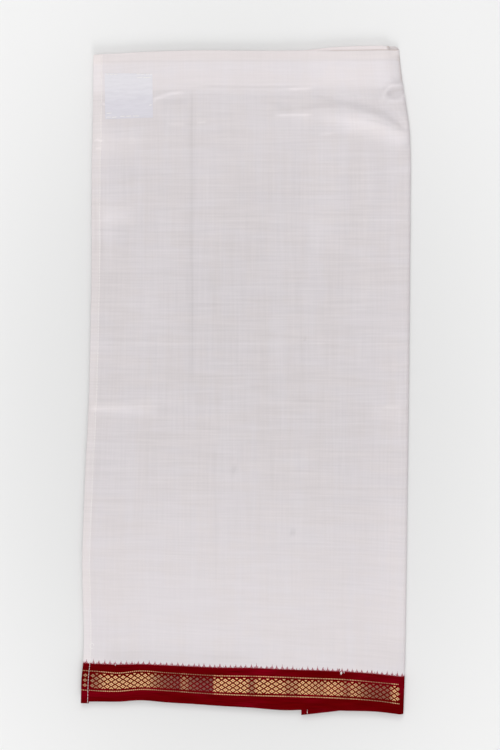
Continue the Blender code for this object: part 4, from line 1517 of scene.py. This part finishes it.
class DHOTI_OT_temple_teeth(Operator):
    """Weave the temple teeth and the uneven edge where the maroon and white threads interlock"""

    bl_idname = "dhoti.temple_teeth"
    bl_label = "Temple teeth"

    def execute(self, context):
        sizes, colours = context.scene.dhoti_sizes, context.scene.dhoti_colours
        surface, reach = front_layer(*BY_BORDER, sizes)
        low, high = reach[0] + UNDER_HEM, reach[1] - 0.5
        pink = material_of("temple threads", thread_material, colours.pink, 0.7)
        thread = material_of("sewing thread", thread_material, colours.thread)
        on_hem = hem_face(front_hem(sizes))
        teeth = ((surface, (low, high), TEETH_SEED), (on_hem, TEETH_ON_HEM, HEM_TEETH_SEED))
        made = joined([
            lay_threads(face, tooth_floats(*part, seed), TOOTH_SECTION, steps=2, tip=0.55)
            for face, part, seed in teeth
        ])
        add_piece("temple_teeth", made, pink, "maroon", rounded=False)
        snags = snag_floats(surface, reach, RED_SNAGS)
        floats = np.concatenate([ragged_floats(low, high, RAGS_SEED), snags])
        made = joined([
            lay_threads(surface, floats, RAG_SECTION),
            lay_threads(on_hem, ragged_floats(*RAGS_ON_HEM, HEM_RAGS_SEED), RAG_SECTION),
        ])
        red = material_of("maroon threads", thread_material, colours.crimson, 0.9)
        add_piece("maroon_edge", made, red, "maroon", rounded=False)
        snags = snag_floats(surface, reach, WHITE_SNAGS)
        floats = np.concatenate([snags, loop_floats(surface, reach)])
        made = lay_threads(surface, floats, PULLED_SECTION, steps=2, tip=0.8, arch=0.1)
        add_piece("pulled_threads", made, thread, "ground", rounded=False)
        return {"FINISHED"}


# ---- rolled hems --------------------------------------------------------------------------------

HemShape = namedtuple("HemShape", "left width thickness middle y_of stitch_in")
SECTION_POINTS = 20
STITCH_GAP = 0.45
SQUARENESS = 0.55  # below 1 a hem's section is flatter than an oval
HEM_LEVEL = 10.0  # leaf pitches up, where both hems lie
HEM_RISE = 0.05  # the first end's hem lies this much higher
ROLL_GAP = 0.01  # room on each side of a roll
HEM_DROP = 1.6  # how far the first end's hem hangs past the selvedge
DRAW_AT, DRAW_WIDTH, DRAW = 0.86, 0.16, 0.12  # where, how widely and how far a stitch thins a hem
ACROSS_HEM = 8.0  # the weave's own width round a roll
HIDDEN_STEP = 12.0  # between the rows of a hem's inner layer


def front_hem(sizes):
    """The first end's hem: it stands a little proud of the leaves beside it."""
    thick = sizes.hem_thickness / MM
    base = REST_GAP + HEM_LEVEL * sizes.leaf_pitch / MM + thick + HEM_RISE
    return HemShape(
        left=left,
        width=hem_width,
        thickness=thick,
        middle=lambda x, y: base + swell(x, y) + creases_at(x, y)[0],
        y_of=lambda x, v: weft_y(x, v) - HEM_DROP * smooth(-v, -14.0, 0.0),
        stitch_in=1.2,
    )


def second_y(x, v):
    """The second end's threads, lower at the selvedge and past the front's fold at the top."""
    top_share = smooth(v, UPPER_FROM, LEAF)
    beyond = curve(TOP_PEEK, "x", "beyond", x) - 1.0
    return weft_y(x, v) - curve(SECOND_END, "x", "below", x) * (1.0 - top_share) + beyond * top_share


def second_hem(sizes):
    """The second end's hem, pressed flatter under the front leaf."""
    pitch = sizes.leaf_pitch / MM
    thick = pitch / 2 - 2 * ROLL_GAP
    base = REST_GAP + HEM_LEVEL * pitch + thick + ROLL_GAP
    return HemShape(
        left=second_left,
        width=lambda y: HEM_AT_BOTTOM + 0 * y,
        thickness=thick,
        middle=lambda x, y: base + swell(x, y) * HEM_LEVEL / FRONT_LEVEL,
        y_of=second_y,
        stitch_in=1.9,
    )


def hem_point(shape, across, v, out, offset, normal_out, beyond, normal_up):
    """A point of a hem: across runs from 0 at its outer edge to 1 at its inner one, and out is
    measured along the hairpin's normal from the middle of the roll. x = edge + across * width, and
    two slow waves."""
    y = shape.y_of(shape.left(0.0), v)
    for _ in range(2):
        edge = shape.left(y)
        x = edge + across * shape.width(y) + 0.12 * np.sin(v / 21.0) + 0.08 * np.sin(v / 7.7)
        y = shape.y_of(x, v)
    z = shape.middle(x, y) + offset + out * normal_out
    return np.stack([x, y + beyond + out * normal_up, z], axis=-1) * MM


def hem_pin(up, down, shape, arc_steps):
    """The hairpin of a hem, whose two layers are rolls that lie on each other."""
    return hairpin(up, down, shape.thickness / 2 + ROLL_GAP, arc_steps)


def hem_tube(shape, pin, stitch_pitch):
    """A rolled hem along part of a hairpin: an oval section, flattened, carried along t.

    across = 1/2 + 1/2 * |cos a| ** squareness and out = thickness / 2 * |sin a| ** squareness, each
    with its own sign. A stitch draws the roll in beside its inner edge, most at its two ends.
    """
    angle = np.arange(SECTION_POINTS) * 2.0 * np.pi / SECTION_POINTS
    cosine, sine = np.cos(angle), np.sin(angle)
    across = 0.5 + 0.5 * np.sign(cosine) * np.abs(cosine) ** SQUARENESS
    out = shape.thickness / 2 * np.sign(sine) * np.abs(sine) ** SQUARENESS
    drawn = np.exp(-(((across - DRAW_AT) / DRAW_WIDTH) ** 2))[None, :]
    pull = 0.5 + 0.5 * np.cos(2.0 * np.pi * pin.v / stitch_pitch)[:, None]
    thin = 1.0 - DRAW * drawn * pull
    lie = (field[:, None] for field in (pin.offset, pin.normal_out, pin.beyond, pin.normal_up))
    points = hem_point(shape, across[None, :], pin.v[:, None], out[None, :] * thin, *lie)
    return tube(points, pin.t, across * ACROSS_HEM)


def tube(points, run, around):
    """A closed tube through rings of points, with a cap of quads at each end."""
    rings, sides = points.shape[:2]
    index = np.arange(rings * sides).reshape(rings, sides)
    ahead = np.roll(index, -1, axis=1)
    body = np.stack([index[:-1], ahead[:-1], ahead[1:], index[1:]], -1).reshape(-1, 4)
    near, far, last = np.arange(sides // 2 - 1), np.arange(1, sides // 2), sides - 1
    lower = np.stack([near, far, last - far, last - near], -1)
    caps = np.concatenate([lower[:, ::-1], lower + (rings - 1) * sides])
    uv = np.stack(np.broadcast_arrays(around[None, :], run[:, None]), -1) * MM
    return points.reshape(-1, 3), np.concatenate([body, caps])[:, ::-1], uv.reshape(-1, 2)


def make_hem(name, shape, stitch_pitch, context, nodes, fine_step):
    """The ground part of a hem, over the top fold, and its border part on both layers."""
    colours = context.scene.dhoti_colours
    up = np.arange(BORDER, LEAF, fine_step)
    down = np.arange(BORDER, LEAF, HIDDEN_STEP)[::-1]
    made = hem_tube(shape, hem_pin(up, down, shape, HEM_ARC), stitch_pitch)
    material = material_of("hem cloth", ground_material, colours, HEM_TINT)
    add_piece(f"{name}_ground", made, material, "hem", nodes[0], crease=crease_shading)
    up = np.linspace(0.0, BORDER, round(BORDER / fine_step) + 1)
    pin = hem_pin(up, up[::-1], shape, 0)
    made = joined([hem_tube(shape, layer, stitch_pitch) for layer in two_layers(pin, len(up))])
    material = material_of("maroon border", maroon_material, colours)
    add_piece(f"{name}_border", made, material, "maroon", nodes[1])


def hem_face(shape):
    """The upper face of a hem as a surface(s, v, out), with s from the hem's outer edge."""

    def surface(s, v, out):
        half = shape.thickness / 2
        share = s / shape.width(shape.y_of(shape.left(0.0), v))
        oval = np.clip(1.0 - np.abs(2.0 * share - 1.0) ** (2.0 / SQUARENESS), 0.0, 1.0)
        over = half * oval ** (SQUARENESS / 2.0) + out
        return hem_point(shape, share, v, over, half + ROLL_GAP, 1.0, 0.0, 0.0)

    return surface


STITCH_ANGLE = -np.arange(6) * np.pi / 3
STITCH_SECTION = 0.25 * np.stack([np.cos(STITCH_ANGLE), np.sin(STITCH_ANGLE)], -1)


def stitch_floats(shape, low, high, length):
    """A row of machine stitches beside a hem's inner edge."""
    starts = np.arange(low, high, length + STITCH_GAP)
    y = shape.y_of(shape.left(0.0), starts)
    at = shape.width(y) - shape.stitch_in + 0.10 * np.sin(starts / 13.0)
    return np.stack([at, starts, at + 0.05, starts + length], -1)


class DHOTI_OT_hems(Operator):
    """Roll the hems of both cut ends, with their machine stitches and the zari that crosses them"""

    bl_idname = "dhoti.hems"
    bl_label = "Hems"

    def execute(self, context):
        sizes, colours = context.scene.dhoti_sizes, context.scene.dhoti_colours
        length = sizes.stitch_length / MM
        pitch = length + STITCH_GAP
        hem_nodes = (["hem_cloth"], ["hem_border_lower", "hem_border_upper"])
        stripes = ("border_lower", "border_upper", "zari")
        second_nodes = (["second_hem_cloth"], [f"second_hem_{stripe}" for stripe in stripes])
        thread = material_of("sewing thread", thread_material, colours.thread)
        # each with the step of its rows and its stitches' share of their full height
        hems = (
            ("hem", front_hem(sizes), hem_nodes, 0.8, 1.0),
            ("second_hem", second_hem(sizes), second_nodes, 4.0, 0.4),
        )
        for name, shape, nodes, fine_step, height in hems:
            make_hem(name, shape, pitch, context, nodes, fine_step)
            floats = stitch_floats(shape, 0.6, LEAF - 2.0, length)
            section = STITCH_SECTION * np.array([1.0, height])
            made = lay_threads(hem_face(shape), floats, section, steps=3, tip=0.5, arch=0.05)
            add_piece(f"{name}_stitches", made, thread, "hem")
        face = hem_face(front_hem(sizes))
        add_zari("hem_zari", face, 0.3, HEM_AT_BOTTOM, context, ["hem_zari"])
        return {"FINISHED"}


# ---- label --------------------------------------------------------------------------------------

# The label's corners in millimetres, round from its bottom left, and how it lies.
LABEL = table("x y", ((-134.6, 249.2), (-89.0, 250.6), (-89.7, 292.6), (-135.3, 293.0)))
TOP_LEFT = LABEL[3]
LABEL_WIDTH, LABEL_LENGTH = 45.6, 43.2
LABEL_THICK = 0.06
LABEL_GAP = 0.02
LABEL_RISE = 0.07  # it stands this much clear of the weave below
TACK_RISE = 0.1  # and its stitches stand this much clear of it
LABEL_STEPS = 44

TACK_SECTION = np.array([(-0.42, 0.0), (-0.26, 0.13), (0.26, 0.13), (0.42, 0.0)])

# The tacking stitches, each from one place to another, in millimetres from the label's top left.
LABEL_TACKS = np.array((
    (1.0, -0.8, 4.0, -1.1), (5.0, -1.2, 8.4, -1.0), (9.2, -1.2, 12.4, -1.0),
    (30.5, -0.8, 34.0, -0.7), (35.0, -0.9, 38.2, -0.7), (39.2, -1.0, 42.5, -0.8),
    (43.2, -0.9, 45.2, -0.9), (31.0, -4.0, 36.0, -3.9), (37.0, -4.1, 44.6, -4.0),
    (1.4, -38.1, 6.6, -38.2), (1.6, -42.0, 6.0, -41.9), (6.8, -42.1, 11.4, -41.9),
    (15.0, -41.2, 19.4, -41.0), (20.2, -41.0, 25.6, -40.8), (27.0, -40.9, 33.0, -40.8),
    (42.6, -30.6, 45.2, -30.2),
))


def front_face(x, y, sizes):
    """Height of the front leaf's upper face, in millimetres."""
    over = (sizes.layer_spread + sizes.cloth_thickness / 2) / MM
    return level_height(FRONT_LEVEL, x, y, sizes.leaf_pitch / MM) + over


def label_grid(out, sizes):
    """Between the four corners, straight across and up, with a slight wave and lifted edges."""
    low, low_far, high_far, high = (np.array(corner) for corner in LABEL)
    share = np.linspace(0.0, 1.0, LABEL_STEPS)
    a, b = share[:, None, None], share[None, :, None]
    flat = (low * (1 - a) + low_far * a) * (1 - b) + (high * (1 - a) + high_far * a) * b
    x, y = flat[..., 0], flat[..., 1]
    a, b = a[..., 0], b[..., 0]
    wave = 0.04 * np.sin(9.0 * a + 2.0 * b) * np.sin(7.0 * b + 0.5) + 0.03 * np.sin(17.0 * b + 4.0 * a)
    corner = smooth(a, 0.9, 1.0) * smooth(b, 0.25, 0.0)
    lift = 0.10 * (corner + 0.5 * smooth(b, 0.05, 0.0) * smooth(a, 0.3, 0.9))
    z = front_face(x, y, sizes) + LABEL_GAP + LABEL_RISE + wave + lift + out
    uv = np.stack(np.broadcast_arrays(LABEL_WIDTH * a, LABEL_LENGTH * b), -1)
    return np.stack([x, y, z], -1) * MM, uv * MM


class DHOTI_OT_label(Operator):
    """Lay the bare satin label at the top left of the front leaf, with its tacking stitches"""

    bl_idname = "dhoti.label"
    bl_label = "Label"

    def execute(self, context):
        sizes, colours = context.scene.dhoti_sizes, context.scene.dhoti_colours
        outer, uv = label_grid(LABEL_THICK, sizes)
        inner, _ = label_grid(0.0, sizes)
        satin = material_of("label satin", label_material, colours)
        add_piece("label_patch", wall(outer, inner, uv), satin, "label", ["label"])

        def surface(s, v, out):
            x, y = TOP_LEFT.x + s, TOP_LEFT.y + v
            z = front_face(x, y, sizes) + LABEL_GAP + LABEL_THICK + TACK_RISE + out
            return np.stack([x, y, z], -1) * MM

        thread = material_of("sewing thread", thread_material, colours.thread)
        made = lay_threads(surface, LABEL_TACKS, TACK_SECTION, steps=3, tip=0.6, arch=0.06)
        add_piece("label_tacks", made, thread, "hem")
        return {"FINISHED"}


# ---- what each sheet was cut to -----------------------------------------------------------------


class DHOTI_OT_sheets(Operator):
    """Work out each cloth sheet's flat cut, what it lies on and what is sewn or woven on it, keeping
    none
    """

    bl_idname = "dhoti.sheets"
    bl_label = "Sheets"

    def execute(self, context):
        piece = bpy.data.objects
        front = front_columns()[1][-1] * MM
        inner = route_columns(INNER_ROUTE, *INNER_COLUMNS)[1][-1] * MM
        ground, border = 2 * (LEAF - BORDER) * MM, 2 * BORDER * MM
        label = (LABEL_WIDTH * MM, LABEL_LENGTH * MM)
        on_front = ("hem_ground", "hem_stitches", "temple_teeth")
        on_border = ("hem_border", "zari_diamonds", "zari_beads")
        on_inner = ("second_hem_ground", "second_hem_stitches")
        sheets = (
            ("front_ground", (ground, front), "folded", "inner_ground", on_front),
            ("front_border", (border, front), "folded", "inner_border", on_border),
            ("inner_ground", (ground, inner), "folded", "front_ground", on_inner),
            ("inner_border", (border, inner), "folded", "front_border", ("second_hem_border",)),
            ("label_patch", label, "laid", "front_ground", ("label_tacks",)),
        )
        for name, flat, held, under, sewn_on in sheets:
            sewn_on = [piece[sewn] for sewn in sewn_on]
        return {"FINISHED"}


# ---- stage --------------------------------------------------------------------------------------

CAMERA_AT = (3.6, 4.7, 1698.0)
LENS = 85.0
SENSOR = 36.0
FLOOR_HALF = 4.0

# A long softbox overhead, along the cloth, and one each past its foot, past its head and over its
# left side: metres and watts. Each is tilted along Y towards its aim.
LAMPS = table("name at aim width length power", (
    ("long softbox", (0.0, 0.9, 1.9), (0.0, 0.9, 0.0), 0.4, 3.4, 4.0),
    ("foot softbox", (0.35, -3.0, 1.9), (0.0, 0.0, 0.0), 1.2, 1.6, 39.0),
    ("head softbox", (0.0, 2.2, 2.6), (0.0, 0.0, 0.0), 1.2, 1.2, 21.0),
    ("left softbox", (-0.55, 0.0, 2.4), (0.0, 0.0, 0.0), 0.8, 1.6, 12.5),
))
ROOM_LIGHT = 0.47


def area_light(lamp):
    """A soft rectangle of light, tilted about X by the angle whose tangent is its way along Y over
    its way down; its length runs along Y."""
    light = bpy.data.lights.new(lamp.name, "AREA")
    light.shape = "RECTANGLE"
    light.size = lamp.width
    light.size_y = lamp.length
    light.energy = lamp.power
    obj = bpy.data.objects.new(lamp.name, light)
    bpy.context.scene.collection.objects.link(obj)
    obj.location = lamp.at
    obj.visible_camera = False
    way = np.array(lamp.aim) - np.array(lamp.at)
    obj.rotation_euler = (np.arctan2(way[1], -way[2]), 0.0, 0.0)


class DHOTI_OT_stage(Operator):
    """Lay the floor, set the soft lights and point the camera straight down"""

    bl_idname = "dhoti.stage"
    bl_label = "Stage"

    def execute(self, context):
        scene, colours = context.scene, context.scene.dhoti_colours
        corners = FLOOR_HALF * np.array([(-1, -1, 0), (1, -1, 0), (1, 1, 0), (-1, 1, 0)])
        floor = new_object("floor", corners, [(0, 1, 2, 3)], floor_material("floor", colours))
        for lamp in LAMPS:
            area_light(lamp)
        world = bpy.data.worlds.new("soft room")
        world.use_nodes = True
        background = world.node_tree.nodes["Background"]
        background.inputs["Color"].default_value = (1.0, 1.0, 1.0, 1.0)
        background.inputs["Strength"].default_value = ROOM_LIGHT
        scene.world = world
        scene.view_settings.view_transform = "Standard"
        camera = bpy.data.objects.new("camera", bpy.data.cameras.new("camera"))
        camera.data.lens = LENS
        camera.data.sensor_width = SENSOR
        camera.location = [value * MM for value in CAMERA_AT]
        scene.collection.objects.link(camera)
        scene.camera = camera
        return {"FINISHED"}


# ---- panel, registration and main ---------------------------------------------------------------

OPERATORS = (
    DHOTI_OT_stage,
    DHOTI_OT_inner_leaves,
    DHOTI_OT_front_ground,
    DHOTI_OT_front_border,
    DHOTI_OT_zari,
    DHOTI_OT_temple_teeth,
    DHOTI_OT_hems,
    DHOTI_OT_label,
    DHOTI_OT_sheets,
)


class DHOTI_PT_panel(Panel):
    """The dhoti's pieces, with the sizes and colours that they are made in"""

    bl_idname = "DHOTI_PT_panel"
    bl_label = "Folded dhoti"
    bl_space_type = "VIEW_3D"
    bl_region_type = "UI"
    bl_category = "Dhoti"

    def draw(self, context):
        for group in (context.scene.dhoti_sizes, context.scene.dhoti_colours):
            box = self.layout.box()
            for name in group.bl_rna.properties.keys():
                if name not in ("rna_type", "name"):
                    box.prop(group, name)
        for operator in OPERATORS:
            self.layout.operator(operator.bl_idname)


CLASSES = (DhotiSizes, DhotiColours, *OPERATORS, DHOTI_PT_panel)


def register():
    """Add the classes, and the sizes and colours to every scene."""
    for cls in CLASSES:
        bpy.utils.register_class(cls)
    bpy.types.Scene.dhoti_sizes = PointerProperty(type=DhotiSizes)
    bpy.types.Scene.dhoti_colours = PointerProperty(type=DhotiColours)


def unregister():
    """Take out what register added."""
    del bpy.types.Scene.dhoti_colours
    del bpy.types.Scene.dhoti_sizes
    for cls in reversed(CLASSES):
        bpy.utils.unregister_class(cls)


def main():
    """Register the classes, then make every piece in order."""
    register()
    for operator in OPERATORS:
        family, name = operator.bl_idname.split(".")
        getattr(getattr(bpy.ops, family), name)()


if __name__ == "__main__":
    main()
